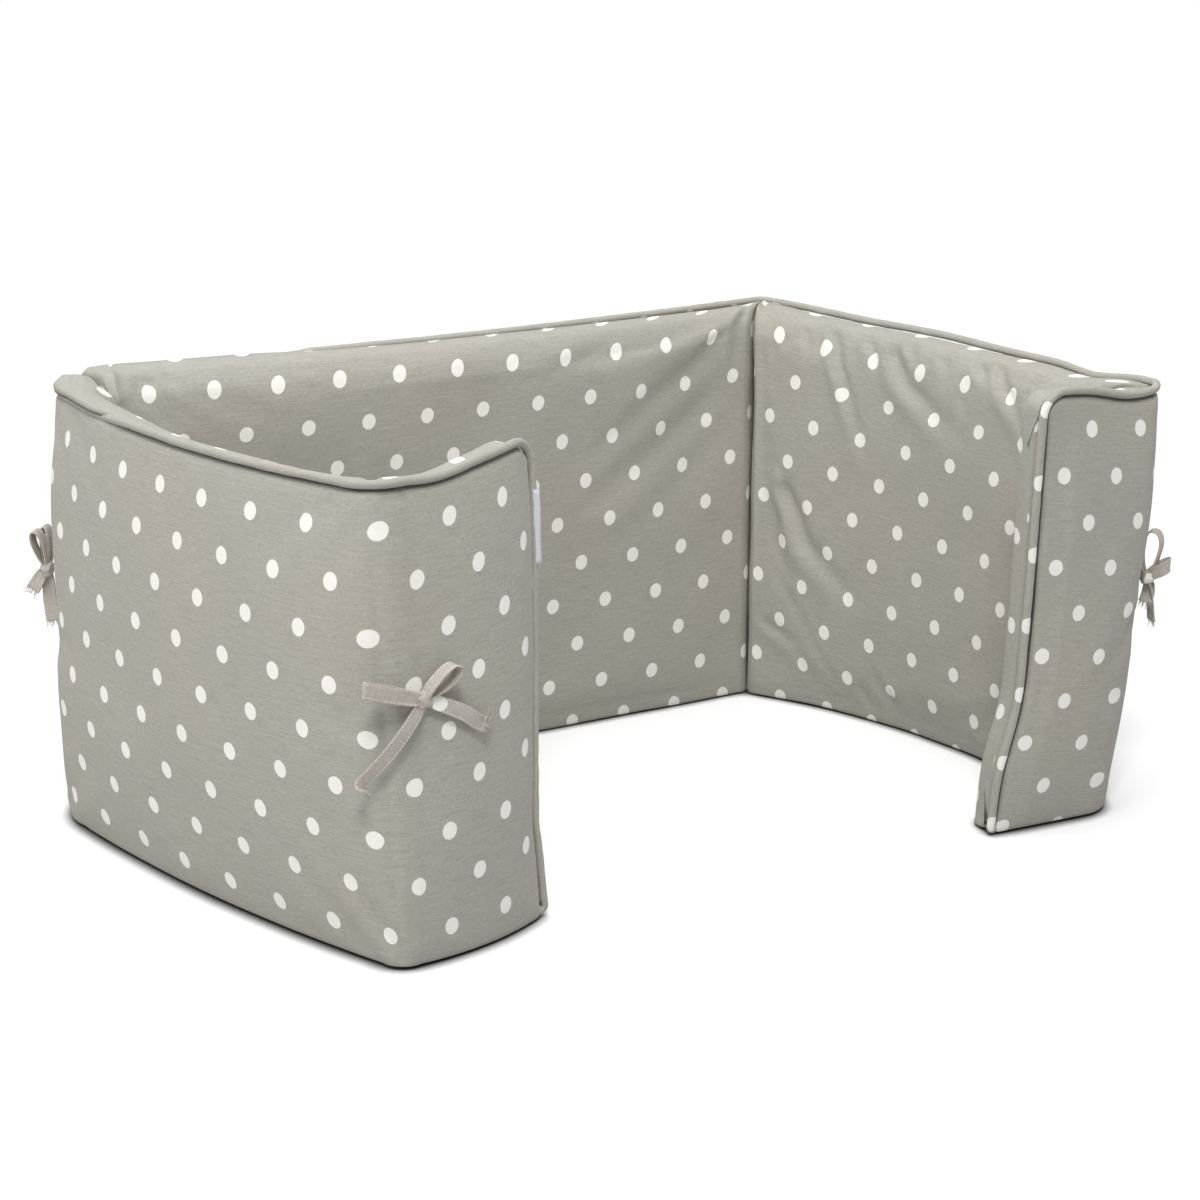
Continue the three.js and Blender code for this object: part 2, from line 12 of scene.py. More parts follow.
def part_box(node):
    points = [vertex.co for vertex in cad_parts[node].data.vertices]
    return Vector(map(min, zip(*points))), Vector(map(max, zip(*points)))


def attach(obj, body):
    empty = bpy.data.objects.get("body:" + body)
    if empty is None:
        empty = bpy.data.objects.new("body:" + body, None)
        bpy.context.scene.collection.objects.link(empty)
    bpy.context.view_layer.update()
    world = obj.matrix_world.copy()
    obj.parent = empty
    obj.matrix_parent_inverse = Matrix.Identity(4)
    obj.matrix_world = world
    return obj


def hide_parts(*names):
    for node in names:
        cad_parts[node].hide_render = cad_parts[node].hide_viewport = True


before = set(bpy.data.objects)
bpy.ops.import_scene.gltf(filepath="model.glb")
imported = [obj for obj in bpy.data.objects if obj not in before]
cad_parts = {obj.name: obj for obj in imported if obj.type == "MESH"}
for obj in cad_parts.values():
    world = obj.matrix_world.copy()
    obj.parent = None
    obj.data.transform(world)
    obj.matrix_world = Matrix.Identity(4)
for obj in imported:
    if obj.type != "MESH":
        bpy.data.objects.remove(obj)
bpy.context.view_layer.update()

MM = 0.001                      # the tables below are in millimetres, the scene in metres

# ---- the strip's sizes, as in the solids ----
RIM_HEIGHT = 283                # top edge of the outer face
THICKNESS = 29
OUTER_CROWN = 6.5               # swell of the outer face before it is puffed up
PIPING_RADIUS = 2.7
PIPING_INSET = 2.2              # piping centre, inwards from the rim's plane
PIPING_LIFT = 3.5               # piping centre, out from the edge of the outer face
LIP = 2.0                       # lower edge of the outer face, which hides the piping of the foot
LEDGE, FOOT_LEDGE = 6.0, 10.0   # where the inner cover starts, beside the piping, at top and foot
FOOT_PIPING = dict(inset=6.3, z=3.05, roof=6.9)
FOOT_HEM = 0.5                  # how far the outer face turns up again behind its lower edge
FOOT_TUCK = (2.9, 0.7, 0.1)     # its first rows sinking into the seam of the foot
RIM_TUCK = (0.1, 0.9, 4.0)      # and its last rows into the seam of the rim
CORNER_DEPTH = 34               # least depth of the strip beside a corner's crease
CREASE_ROLL = 6                 # radius with which the inner cover rolls into a crease
CREASE_GAP = 0.9                # half the width of a crease behind that roll
CREASE_SHUT = 0.7               # part of that width which is gone at its bottom
SEAM_LEFT, BEND_LEFT = 6, 20    # stuffing left under a sewn crease and under a plain bend

# ---- its free ends ----
END_ROUND = {"left": {"top": 16, "foot": 5}, "right": {"top": 12, "foot": 4}}
FACE_CORNER = 0.8               # part of that radius at the face's corners, under the piping's wider turn
PAST_CORNER = 3                 # from a rounded corner to the first ring of the plain strip
END_PIPING = dict(lift=4.7, inset=1.5)   # piping centre beside a free end, past it and inwards
END_TUCK = [(0.0, 3.2), (0.5, 1.2), (2.0, 0.3), (4.5, 0.0)]   # outer face sinking into the end's seam
END_PROUD = 4.6                 # how far the stuffed ends stand past the outer face
END_DRAW = 3.0                  # how much further in the outermost ring starts than the ledge
END_THIN = 0.86                 # part of the full thickness at the seam of an end,
END_WIDENS, END_CLOSES = 0.14, 0.42      # what it gains from there inwards, and loses outwards
END_CROWN, CROWN_REACH = 0.2, 25         # part of the outer face's swell at an end, and where it is full
CAP_WIDTH = 8.0                 # cloth across the middle of a stuffed end
# The ends aren't straight: height and how far the end stands out there.
END_WAVE_KEYS = {
    "left": [(0, 0), (8, 0), (47, -3.8), (66, -5.9), (125, -2.1), (184, 2.5), (252, 7.0), (290, 6.0)],
    "right": [(0, 0), (8, -1.5), (45, -2.6), (92, -10.2), (135, -9.4), (197, -6.6), (255, -3.0), (290, -1)],
}
END_WAVE_POINTS = 120
END_WAVE_REACH = 75.0           # how far from the end the cloth follows it

# The rim in plan, at the foot and at the top: the free ends and the corners with their bend radii,
# the stuffing left in the crease and how far the rim stands above RIM_HEIGHT; where a crease is sewn
# along the bend (half way unless given), and how far its mouth is pulled towards the panel before it.
CORNERS = [
    dict(name="left end", foot=(-141, -125), top=(-125, -86), lift=2),
    dict(name="left front", foot=(-250, -137), top=(-255, -124), lift=0,
         foot_radius=18, top_radius=24, left=BEND_LEFT),
    dict(name="left back", foot=(-316, 226), top=(-299, 237), lift=3,
         foot_radius=44, top_radius=50, left=SEAM_LEFT, seam=0.75),
    dict(name="right back", foot=(242, 122), top=(276, 157), lift=4.5,
         foot_radius=8, top_radius=10, left=SEAM_LEFT, skew={"foot": 0.0, "top": 5.0}),
    dict(name="right front", foot=(285, -229), top=(281, -226), lift=8,
         foot_radius=30, top_radius=9, left=BEND_LEFT),
    dict(name="right end", foot=(172, -203), top=(184, -214), lift=12),
]
PANELS = [
    dict(name="left flap", foot_bow=6, top_bow=7),
    dict(name="left side", foot_bow=9, top_bow=17),
    dict(name="back", foot_bow=-5, top_bow=-15),
    dict(name="right side", foot_bow=24, top_bow=16),
    dict(name="right flap", foot_bow=0, top_bow=0),
]
# Where the rim sinks between the corners, by the running length along it: place, depth, half width.
RIM_SAGS = [(78, 3.0, 22), (1110, 2.6, 55), (1240, 4.6, 75), (1308, 4.6, 26), (1408, 6.4, 28)]
# How high the stuffing stands over the rim, by the running length: 1 as drawn in TOP_ROLL.
TOP_FILL = [(0, 0.1), (60, 0.15), (160, 0.25), (310, 0.55), (360, 1.2), (470, 1.35), (600, 1.25),
            (700, 0.9), (1010, 0.85), (1060, 0.95), (1340, 0.8), (1400, 0.3), (1480, 0.3)]
# How far the cover is drawn over the piping, by the running length: 1 hides it.
DRAWN_OVER = [(0, 0), (325, 0), (375, 1), (590, 1), (640, 0), (1480, 0)]
DRAWN = dict(ledge=6.8, inset=2.0, down=4.5)    # the cover's edge outwards, the piping inwards and down
CLOTH_STEP = 7.4                # spacing of the cloth's points before they are doubled
CREASE_COLUMNS = 7              # columns from a crease's mouth to its bottom

# The section over the top and under the foot: part of the way across, and height from the rim or
# from the surface below.
TOP_ROLL = [(0.0, 1.0), (0.03, 4.0), (0.14, 6.2), (0.38, 6.4), (0.66, 3.9), (0.86, -1.8), (0.965, -8),
            (1.0, -17)]
BASE_ROLL = [(1.0, 19), (0.965, 9), (0.87, 2.2), (0.72, 0.0), (0.45, 0.0), (0.2, 0.0), (0.0, 2.0)]
SEAM_ROWS = [2.5, 6, 12, 20]    # heights of the first rows of cloth above and below a seam


def vec(pair):
    return np.array(pair, dtype=float)


def unit(v):
    return v / np.linalg.norm(v, axis=-1, keepdims=True)


def smoothstep(t):
    t = np.clip(t, 0, 1)
    return t * t * (3 - 2 * t)


def keyed(place, keys):
    """The value at a place in a table of places and values."""
    return np.interp(place, *np.transpose(keys))


def outwards(along):
    """The strip runs clockwise seen from above, so its outside is on the left of the way along."""
    return unit(np.stack([-along[..., 1], along[..., 0]], axis=-1))


def running_length(points):
    return np.concatenate([[0], np.cumsum(np.linalg.norm(np.diff(points, axis=0), axis=1))])


def respaced(points, count):
    """The same line with count points evenly along it."""
    length = running_length(points)
    want = np.linspace(0, length[-1], count)
    return np.stack([np.interp(want, length, points[:, k]) for k in range(points.shape[1])], axis=1)


def catmull_rom(keys, count):
    """A smooth run of count points through the keys, evenly spaced along it."""
    keys = np.array(keys, dtype=float)
    padded = np.vstack([2 * keys[0] - keys[1], keys, 2 * keys[-1] - keys[-2]])
    t = np.linspace(0, 1, 24, endpoint=False)[:, None]
    fine = []
    for i in range(len(keys) - 1):
        p0, p1, p2, p3 = padded[i:i + 4]
        fine.append(0.5 * (2 * p1 + (p2 - p0) * t + (2 * p0 - 5 * p1 + 4 * p2 - p3) * t ** 2
                           + (3 * p1 - p0 - 3 * p2 + p3) * t ** 3))
    return respaced(np.vstack([*fine, keys[-1:]]), count)


END_WAVE = {end: catmull_rom(keys, END_WAVE_POINTS) for end, keys in END_WAVE_KEYS.items()}


# ---- the strip in plan ----
def bend_at(before, corner, after, radius):
    back = unit(before - corner)
    on = unit(after - corner)
    half = math.acos(np.clip(back @ on, -1, 1)) / 2
    bisector = unit(back + on)
    reach = radius / math.tan(half)
    return dict(start=corner + back * reach, end=corner + on * reach,
                centre=corner + bisector * radius / math.sin(half),
                back=back, on=on, half=half, bisector=bisector, radius=radius)


def bends_of(level):
    corner = [vec(c[level]) for c in CORNERS]
    return [bend_at(corner[i - 1], corner[i], corner[i + 1], CORNERS[i][f"{level}_radius"])
            if "left" in CORNERS[i] else None for i in range(len(corner))]


def bowed_run(start, end, bow, steps):
    t = np.linspace(0, 1, steps + 1)[:, None]
    return start + (end - start) * t + outwards(end - start) * 4 * t * (1 - t) * bow


def on_arc(bend, part):
    """Points of a bend at parts of the way round it."""
    first, last = bend["start"] - bend["centre"], bend["end"] - bend["centre"]
    start = math.atan2(first[1], first[0])
    turn = (math.atan2(last[1], last[0]) - start + math.pi) % (2 * math.pi) - math.pi
    angle = start + turn * np.asarray(part)
    return bend["centre"] + bend["radius"] * np.stack([np.cos(angle), np.sin(angle)], axis=-1)


def arc_run(bend, steps, seam):
    t = np.arange(1, steps) / steps
    return on_arc(bend, np.interp(t, [0, 0.5, 1], [0, seam, 1]))


def crease_run(lip_point, bend, seam_point, left):
    """The inner cover into a crease and out again: a quarter roll, then the wall to its bottom."""
    drop = np.linalg.norm(lip_point - seam_point) - left
    out_way = unit(seam_point - lip_point)
    roll = min(CREASE_ROLL, 0.8 * drop)
    turn = np.radians([18, 36, 54, 72, 90])
    side = [(roll * (1 - math.sin(a)) + CREASE_GAP, roll * (1 - math.cos(a))) for a in turn]
    for t in np.linspace(0, 1, CREASE_COLUMNS - len(turn) + 1)[1:]:
        side.append((CREASE_GAP * (1 - CREASE_SHUT * t), roll + (drop - roll) * t))
    into = [lip_point + out_way * depth + bend["back"] * half for half, depth in side]
    out = [lip_point + out_way * depth + bend["on"] * half for half, depth in side[:-1]]
    return np.array(into + out[::-1])


def plan_lines(level, steps):
    """The outer rim line and the inner cover's line, column by column, at the foot or the top."""
    bends = bends_of(level)
    corner = [vec(c[level]) for c in CORNERS]
    side = [-outwards(corner[i + 1] - corner[i]) for i in range(len(PANELS))]
    inner_corner = [p + (bends[i]["bisector"] * THICKNESS / math.sin(bends[i]["half"]) if bends[i]
                         else side[min(i, len(side) - 1)] * THICKNESS) for i, p in enumerate(corner)]

    def outermost(i):
        return bends[i]["centre"] - bends[i]["bisector"] * bends[i]["radius"]

    def filled_out(i):
        return max(0, CORNER_DEPTH - np.linalg.norm(inner_corner[i] - outermost(i)))

    def skew(i):
        return CORNERS[i].get("skew", {}).get(level, 0.0)

    def mouth(i):
        return CREASE_ROLL + 1 + filled_out(i) if bends[i] else 0

    outer, inner, panel_of = [], [], []
    for i, panel in enumerate(PANELS):
        start = bends[i]["end"] if bends[i] else corner[i]
        end = bends[i + 1]["start"] if bends[i + 1] else corner[i + 1]
        outer.append(bowed_run(start, end, panel[f"{level}_bow"], steps[i]))
        along = unit(inner_corner[i + 1] - inner_corner[i])
        inner.append(bowed_run(inner_corner[i] + along * mouth(i),
                               inner_corner[i + 1] - along * (mouth(i + 1) + skew(i + 1)),
                               panel[f"{level}_bow"], steps[i]))
        panel_of += [i] * (steps[i] + 1)
        bend = bends[i + 1]
        if bend:
            seam = CORNERS[i + 1].get("seam", 0.5)
            outer.append(arc_run(bend, 2 * CREASE_COLUMNS, seam))
            lip_point = inner_corner[i + 1] + bend["bisector"] * filled_out(i + 1)
            lip_point = lip_point + bend["back"] * skew(i + 1)
            inner.append(crease_run(lip_point, bend, on_arc(bend, seam), CORNERS[i + 1]["left"]))
            panel_of += [i + (j >= CREASE_COLUMNS) for j in range(1, 2 * CREASE_COLUMNS)]
    return np.vstack(outer), np.vstack(inner), np.array(panel_of)


class Strip:
    """The strip's lines in plan, by column, and the height of its rim."""

    def __init__(self):
        rough = [np.linalg.norm(vec(CORNERS[i + 1]["foot"]) - vec(CORNERS[i]["foot"]))
                 for i in range(len(PANELS))]
        steps = [max(4, round(length / CLOTH_STEP)) for length in rough]
        self.outer, self.inner = {}, {}
        for level in ("foot", "top"):
            self.outer[level], self.inner[level], self.panel = plan_lines(level, steps)
        self.count = len(self.panel)
        self.length = running_length((self.outer["foot"] + self.outer["top"]) / 2)
        self.cover_length = running_length((self.inner["foot"] + self.inner["top"]) / 2)
        self.total = self.length[-1]
        creases = np.cumsum([s + 2 * CREASE_COLUMNS for s in steps[:-1]]) - CREASE_COLUMNS
        self.corner_at = [0, *creases.tolist(), self.count - 1]
        lifts = [c["lift"] for c in CORNERS]
        self.rim = np.empty(self.count)
        for k in range(self.count):
            i = min(np.searchsorted(self.corner_at, k, side="right"), len(CORNERS) - 1)
            a, b = self.corner_at[i - 1], self.corner_at[i]
            t = (k - a) / (b - a)
            self.rim[k] = RIM_HEIGHT + lifts[i - 1] + (lifts[i] - lifts[i - 1]) * t * t * (3 - 2 * t)
        for place, depth, wide in RIM_SAGS:
            self.rim -= depth * np.exp(-((self.length - place) / wide) ** 2)

    def at_length(self, length):
        """The column, with its fraction, at a running length along the outer rim."""
        return float(np.interp(length, self.length, np.arange(self.count)))

    def by_column(self, values, column):
        """A value given for each whole column, at columns with a fraction."""
        return np.interp(column, np.arange(self.count), values)

    def from_end(self, end, distance):
        """The column at a distance from a free end, and the shift along for what lies past the end."""
        inner = max(distance, 0)
        column = self.at_length(inner if end == "left" else self.total - inner)
        return column, min(distance, 0) * (1 if end == "left" else -1)

    def blend(self, lines, column, z):
        """Points in plan of a line at columns and heights of equal shape."""
        column = np.clip(np.asarray(column, dtype=float), 0, self.count - 1)
        k = np.minimum(column.astype(int), self.count - 2)
        t = (column - k)[..., None]
        foot = lines["foot"][k] * (1 - t) + lines["foot"][k + 1] * t
        top = lines["top"][k] * (1 - t) + lines["top"][k + 1] * t
        w = (np.asarray(z) / RIM_HEIGHT)[..., None]
        return foot * (1 - w) + top * w

    def axes(self, column, z):
        """Rim point, way along, way inside and cover point."""
        column = np.asarray(column, dtype=float)
        reach = 0.35            # columns either side, between which the way along is taken
        ahead = self.blend(self.outer, np.minimum(column + reach, self.count - 1), z)
        behind = self.blend(self.outer, np.maximum(column - reach, 0), z)
        along = unit(ahead - behind)
        return (self.blend(self.outer, column, z), along, -outwards(along),
                self.blend(self.inner, column, z))

    def rim_height(self, column):
        return self.by_column(self.rim, column)


STRIP = Strip()


def plan_offset():
    """From the plan's own axes to the frame's, from where the piping lies in the frame."""
    line = np.vstack([STRIP.outer["foot"], STRIP.outer["top"]])
    low, high = (np.array(corner)[:2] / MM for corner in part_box("piping"))
    return (low + high) / 2 - (line.min(axis=0) + line.max(axis=0)) / 2


OFFSET = plan_offset()

# ---- the padded strip as a grid of cloth points ----
# The rows of a ring run up the outer face, over the top, down the inner face and back under the foot.
FACE_ROWS, TOP_ROWS, BASE_ROWS = 34, 9, 7
COVER_TOP, COVER_FOOT = FACE_ROWS + TOP_ROWS, FACE_ROWS + TOP_ROWS + FACE_ROWS - 1
APEX = FACE_ROWS + TOP_ROWS // 2            # the row along the middle of the top
FINE_FACE = 2 * FACE_ROWS - 1   # rows of the outer face once they are doubled
END_RINGS = 7                   # rings round the rounded corners of a free end
PROUD_RINGS = 5                 # and over its stuffing, past the seam
TOP_CURVE, BASE_CURVE = catmull_rom(TOP_ROLL, TOP_ROWS), catmull_rom(BASE_ROLL, BASE_ROWS)
TAKEN_UP = 0.84                 # part of the way over the top by which the spots move on


def corner_cut(from_end, radius):
    """How far the rounded corner of the outer face cuts in at a distance from its free end."""
    x = radius - min(max(from_end, 0), radius)
    return radius - math.sqrt(max(radius ** 2 - x ** 2, 0))


def end_stations(end):
    """Rings round a free end, from its outermost point inwards along the strip."""
    radius = END_ROUND[end]["top"]
    out = []
    for j in range(PROUD_RINGS, 0, -1):
        turn = j / PROUD_RINGS * math.pi / 2
        thin = END_THIN - END_CLOSES * (1 - math.cos(turn))
        out.append(dict(from_end=-END_PROUD * math.sin(turn), thin=thin, shell=False))
    for j in range(END_RINGS + 1):
        from_end = radius * (1 - math.cos(j / END_RINGS * math.pi / 2))
        thin = END_THIN + END_WIDENS * min(1, from_end / radius)
        out.append(dict(from_end=from_end, thin=thin, shell=True))
    for ring in out:
        ring["end"] = end
        ring["column"], ring["shift"] = STRIP.from_end(end, ring["from_end"])
    return out


def stations():
    """Rings of the strip from one free end to the other: column, distance from the nearer end, shift
    of what lies past it, how the stuffing closes in, and whether the outer face is part of the ring."""
    middle = []
    for k in range(STRIP.count):
        end = "left" if STRIP.length[k] < STRIP.total / 2 else "right"
        from_end = min(STRIP.length[k], STRIP.total - STRIP.length[k])
        if from_end > END_ROUND[end]["top"] + PAST_CORNER:
            middle.append(dict(column=float(k), shift=0.0, from_end=from_end, thin=1.0, shell=True, end=end))
    return end_stations("left") + middle + end_stations("right")[::-1]


def filling(column):
    """How well filled the strip is at a column: 1 along the panels, less in a crease."""
    rim, _, _, cover = STRIP.axes(column, RIM_HEIGHT / 2)
    return float(np.clip(np.linalg.norm(cover - rim) / THICKNESS, 0, 1))


def spread_rows(low, high):
    """Heights of the outer face's rows, closer together beside its two seams."""
    near = np.array([0, *SEAM_ROWS])
    middle = np.linspace(low + near[-1], high - near[-1], FACE_ROWS - 2 * len(near) + 2)[1:-1]
    return np.concatenate([low + near, middle, (high - near)[::-1]])


def swell(t):
    return 1 - np.abs(2 * t - 1) ** 2.5


def drawn_over(column):
    return keyed(STRIP.by_column(STRIP.length, column), DRAWN_OVER)


def end_slide(end, from_end, z):
    """How far along the strip its cloth is shifted near a free end that isn't straight."""
    out = keyed(z, END_WAVE[end]) * (1 - smoothstep(max(from_end, 0) / END_WAVE_REACH))
    return out * (-1 if end == "left" else 1)


def section(station):
    """One ring: distance in from the rim, or part of the way across, and height; row by row."""
    column, from_end = station["column"], station["from_end"]
    height, full = STRIP.rim_height(column), filling(column)
    rounded = END_ROUND[station["end"]]
    cut_top, cut_foot = (corner_cut(from_end, FACE_CORNER * rounded[level]) for level in ("top", "foot"))
    soft_top, soft_foot = (corner_cut(from_end + END_PROUD, rounded[level]) for level in ("top", "foot"))
    lip, rim = LIP + cut_foot, height - cut_top
    z_face = spread_rows(lip, rim)
    if station["shell"]:
        z_face[:2] = lip + FOOT_HEM, lip
        tuck = np.zeros(FACE_ROWS)
        tuck[:len(FOOT_TUCK)] = FOOT_TUCK
        tuck[-len(RIM_TUCK):] = RIM_TUCK
        tuck = np.maximum(tuck, keyed(from_end, END_TUCK))
        closing = min(1, END_CROWN + max(from_end, 0) / CROWN_REACH)
        edge_face = -OUTER_CROWN * swell((z_face - lip) / (rim - lip)) * full * closing + tuck
    else:
        edge_face = np.full(FACE_ROWS, LEDGE + END_DRAW * (-from_end / END_PROUD) ** 2)
    fill = full * keyed(STRIP.by_column(STRIP.length, column), TOP_FILL)
    rise = TOP_CURVE[:, 1]
    top = height - soft_top
    z_top = top + np.where(rise > 0, rise * fill, rise)
    z_cover = np.linspace(top + TOP_ROLL[-1][1], BASE_ROLL[0][1] + soft_foot, FACE_ROWS + 2)[1:-1]
    ledge = LEDGE - DRAWN["ledge"] * drawn_over(column)
    rows = [(edge_face[i], ledge, 0.0, z_face[i]) for i in range(FACE_ROWS)]
    rows += [(None, ledge, TOP_CURVE[i, 0], z_top[i]) for i in range(TOP_ROWS)]
    rows += [(None, ledge, 1.0, z) for z in z_cover]
    rows += [(None, FOOT_LEDGE, across, z + soft_foot) for across, z in BASE_CURVE]
    rows += [(FOOT_PIPING["inset"], FOOT_LEDGE, 0.0, FOOT_PIPING["roof"] + cut_foot)]
    return rows, full


def ring_points(station):
    """The points of one ring in the frame, in millimetres, and how well filled the strip is there."""
    rows, full = section(station)
    column = station["column"]
    z = np.array([row[3] for row in rows])
    in_plan = np.clip(z, 0, STRIP.rim_height(column))
    rim, along, inside, cover = STRIP.axes(np.full(len(rows), column), in_plan)
    ledge = rim + inside * np.array([row[1] for row in rows])[:, None]
    shift = station["shift"] + end_slide(station["end"], station["from_end"], z)
    out = []
    for i, (edge, _, across, _) in enumerate(rows):
        if edge is None:
            point = ledge[i] + (rim[i] + (cover[i] - rim[i]) * station["thin"] - ledge[i]) * across
        else:
            point = rim[i] + inside[i] * edge
        out.append([*(point + along[i] * shift[i] + OFFSET), z[i]])
    return np.array(out), full


def cloth_heights(points):
    """Height along the inner cover, row by row: as it stands on the inner face, and by the length of
    cloth over the top and under the foot."""
    v = points[:, :, 2].copy()
    for row in range(COVER_TOP - 1, FACE_ROWS - 1, -1):
        v[:, row] = v[:, row + 1] + TAKEN_UP * np.linalg.norm(points[:, row] - points[:, row + 1], axis=1)
    for row in range(COVER_FOOT + 1, points.shape[1]):
        v[:, row] = v[:, row - 1] - np.linalg.norm(points[:, row] - points[:, row - 1], axis=1)
    return v


# Where the spots fall on each length of cloth: the place of one spot, and how the cloth was eased
# off its straight grain as it was sewn, for each 100 mm along (x) and up from the middle height (y).
SPOT_COLUMN, SPOT_PITCH = 21.3, 60.0
SPOT_SIZE = dict(wide=9.6, tall=10.9)
MIDDLE_HEIGHT = 140.0
FACE_SPOTS = {
    "left": dict(along=118.1, up=261.7, middle=114, shift=7.5, stretch=-0.5, lean=-3.7, bow=-4.5,
                 twist=-0.3, rise=-1.3, arch=0.7),
    "right": dict(along=113.8, up=270.9, middle=1310, shift=-0.6, lean=0.9, bow=4.0, twist=-10,
                  rise=-0.5, slope=10.5, arch=2.3),
}
FACE_JOIN = dict(start=650, over=500)       # where the left length gives way to the right one
COVER_SPOTS = {
    "left flap": dict(along=40.0, up=225.0),
    "left side": dict(along=40.0, up=225.0),
    "back": dict(along=354.9, up=213.8, middle=44, shift=4.0, stretch=1.7, lean=3.1, twist=-0.4, slope=-0.7),
    "right side": dict(along=101.4, up=208.6, middle=49, shift=21.4, stretch=-2.3, lean=4.7, bow=3.3,
                       twist=0.5, rise=1.5, slope=-2.4, arch=1.3),
    "right flap": dict(along=20.0, up=231.0),
}


class PadGrid:
    """Points of the strip's cloth, station by row, and their place on the cut cloth."""

    def __init__(self):
        self.stations = stations()
        rings = [ring_points(station) for station in self.stations]
        self.points = np.array([ring for ring, _ in rings])
        self.full = np.array([full for _, full in rings])
        self.column = np.array([s["column"] for s in self.stations])
        self.along = STRIP.by_column(STRIP.length, self.column)
        self.along = self.along + np.array([s["shift"] for s in self.stations])
        self.cover_along = STRIP.by_column(STRIP.cover_length, self.column)
        middle = self.points[:, COVER_TOP + FACE_ROWS // 2]
        step = np.linalg.norm(np.diff(middle, axis=0), axis=1)
        for k in range(PROUD_RINGS - 1, -1, -1):
            self.cover_along[k] = self.cover_along[k + 1] - step[k]
            self.cover_along[-1 - k] = self.cover_along[-2 - k] + step[-1 - k]
        self.panel = STRIP.by_column(STRIP.panel, self.column)
        self.slide = np.array([end_slide(s["end"], s["from_end"], ring[:, 2])
                               for s, ring in zip(self.stations, self.points)])
        self.up = cloth_heights(self.points)


GRID = PadGrid()


# ---- from grids to meshes ----
def tube_faces(rings, size, joined=False):
    """Quads between closed rings of points, and from the last ring to the first where they are joined."""
    return [(k * size + r, k * size + (r + 1) % size,
             (k + 1) % rings * size + (r + 1) % size, (k + 1) % rings * size + r)
            for k in range(rings if joined else rings - 1) for r in range(size)]


def grid_faces(count, rows, apex):
    """Quads between the rings of a closed grid, and a cap over each end."""
    faces = tube_faces(count, rows)
    for start, flip in ((0, True), ((count - 1) * rows, False)):
        for j in range(rows // 2):
            face = [(apex - j) % rows, (apex - j - 1) % rows, (apex + j + 1) % rows, (apex + j) % rows]
            face = list(dict.fromkeys(face))
            if len(face) > 2:
                faces.append(tuple(start + i for i in (reversed(face) if flip else face)))
    return faces


def new_object(name, vertices, faces, smooth=True):
    mesh = bpy.data.meshes.new(name)
    mesh.from_pydata([tuple(v) for v in vertices], [], faces)
    mesh.validate()
    bm = bmesh.new()
    bm.from_mesh(mesh)
    bmesh.ops.recalc_face_normals(bm, faces=bm.faces)
    bm.to_mesh(mesh)
    bm.free()
    if smooth:
        mesh.polygons.foreach_set("use_smooth", [True] * len(mesh.polygons))
    obj = bpy.data.objects.new(name, mesh)
    bpy.context.scene.collection.objects.link(obj)
    return obj


def doubled(values, closed):
    """A grid with a new row between each two along its first axis, on smooth curves."""
    if closed:
        before, after = np.roll(values, 1, axis=0), np.roll(values, -1, axis=0)
        far = np.roll(values, -2, axis=0)
    else:
        before = np.concatenate([values[:1], values[:-1]])
        after = np.concatenate([values[1:], values[-1:]])
        far = np.concatenate([values[2:], values[-1:], values[-1:]])
    between = (9 * (values + after) - before - far) / 16
    out = np.empty((2 * len(values), *values.shape[1:]))
    out[0::2], out[1::2] = values, between
    return out if closed else out[:-1]


def grid_normals(points):
    """Outward normals of a closed grid."""
    around = np.roll(points, -1, axis=1) - np.roll(points, 1, axis=1)
    along = np.gradient(points, axis=0)
    normal = np.cross(around, along)
    length = np.linalg.norm(normal, axis=-1, keepdims=True)
    normal = normal / np.maximum(length, 1e-9)
    middle = normal[len(normal) // 2, FACE_ROWS // 2]
    outside = points[len(points) // 2, FACE_ROWS // 2] - points[len(points) // 2].mean(axis=0)
    return normal if middle @ outside > 0 else -normal


# ---- the cloth puffed up over its filling ----
PUFF = dict(frames=20, cap=7.0, held_end=24.0)     # cap: the furthest a point may move
CLOTH = dict(quality=4, mass=0.25, tension_stiffness=12, compression_stiffness=6, shear_stiffness=4,
             bending_stiffness=0.35, use_pressure=True, uniform_pressure_force=3.0,
             vertex_group_mass="sewn", vertex_group_shrink="slack", shrink_min=0.0, shrink_max=-0.03)
# Cloth to spare: on the outer face, on the cover, and more of it on the loosely filled panel, which
# lies between two places counted in panels.
SLACK = dict(face=0.1, cover=0.2, loose=0.5, start=2.4, end=4.4)
CREASE_FILL, CREASE_HOLD = 0.75, 0.9    # cover less filled than this is in a crease, and held this firmly


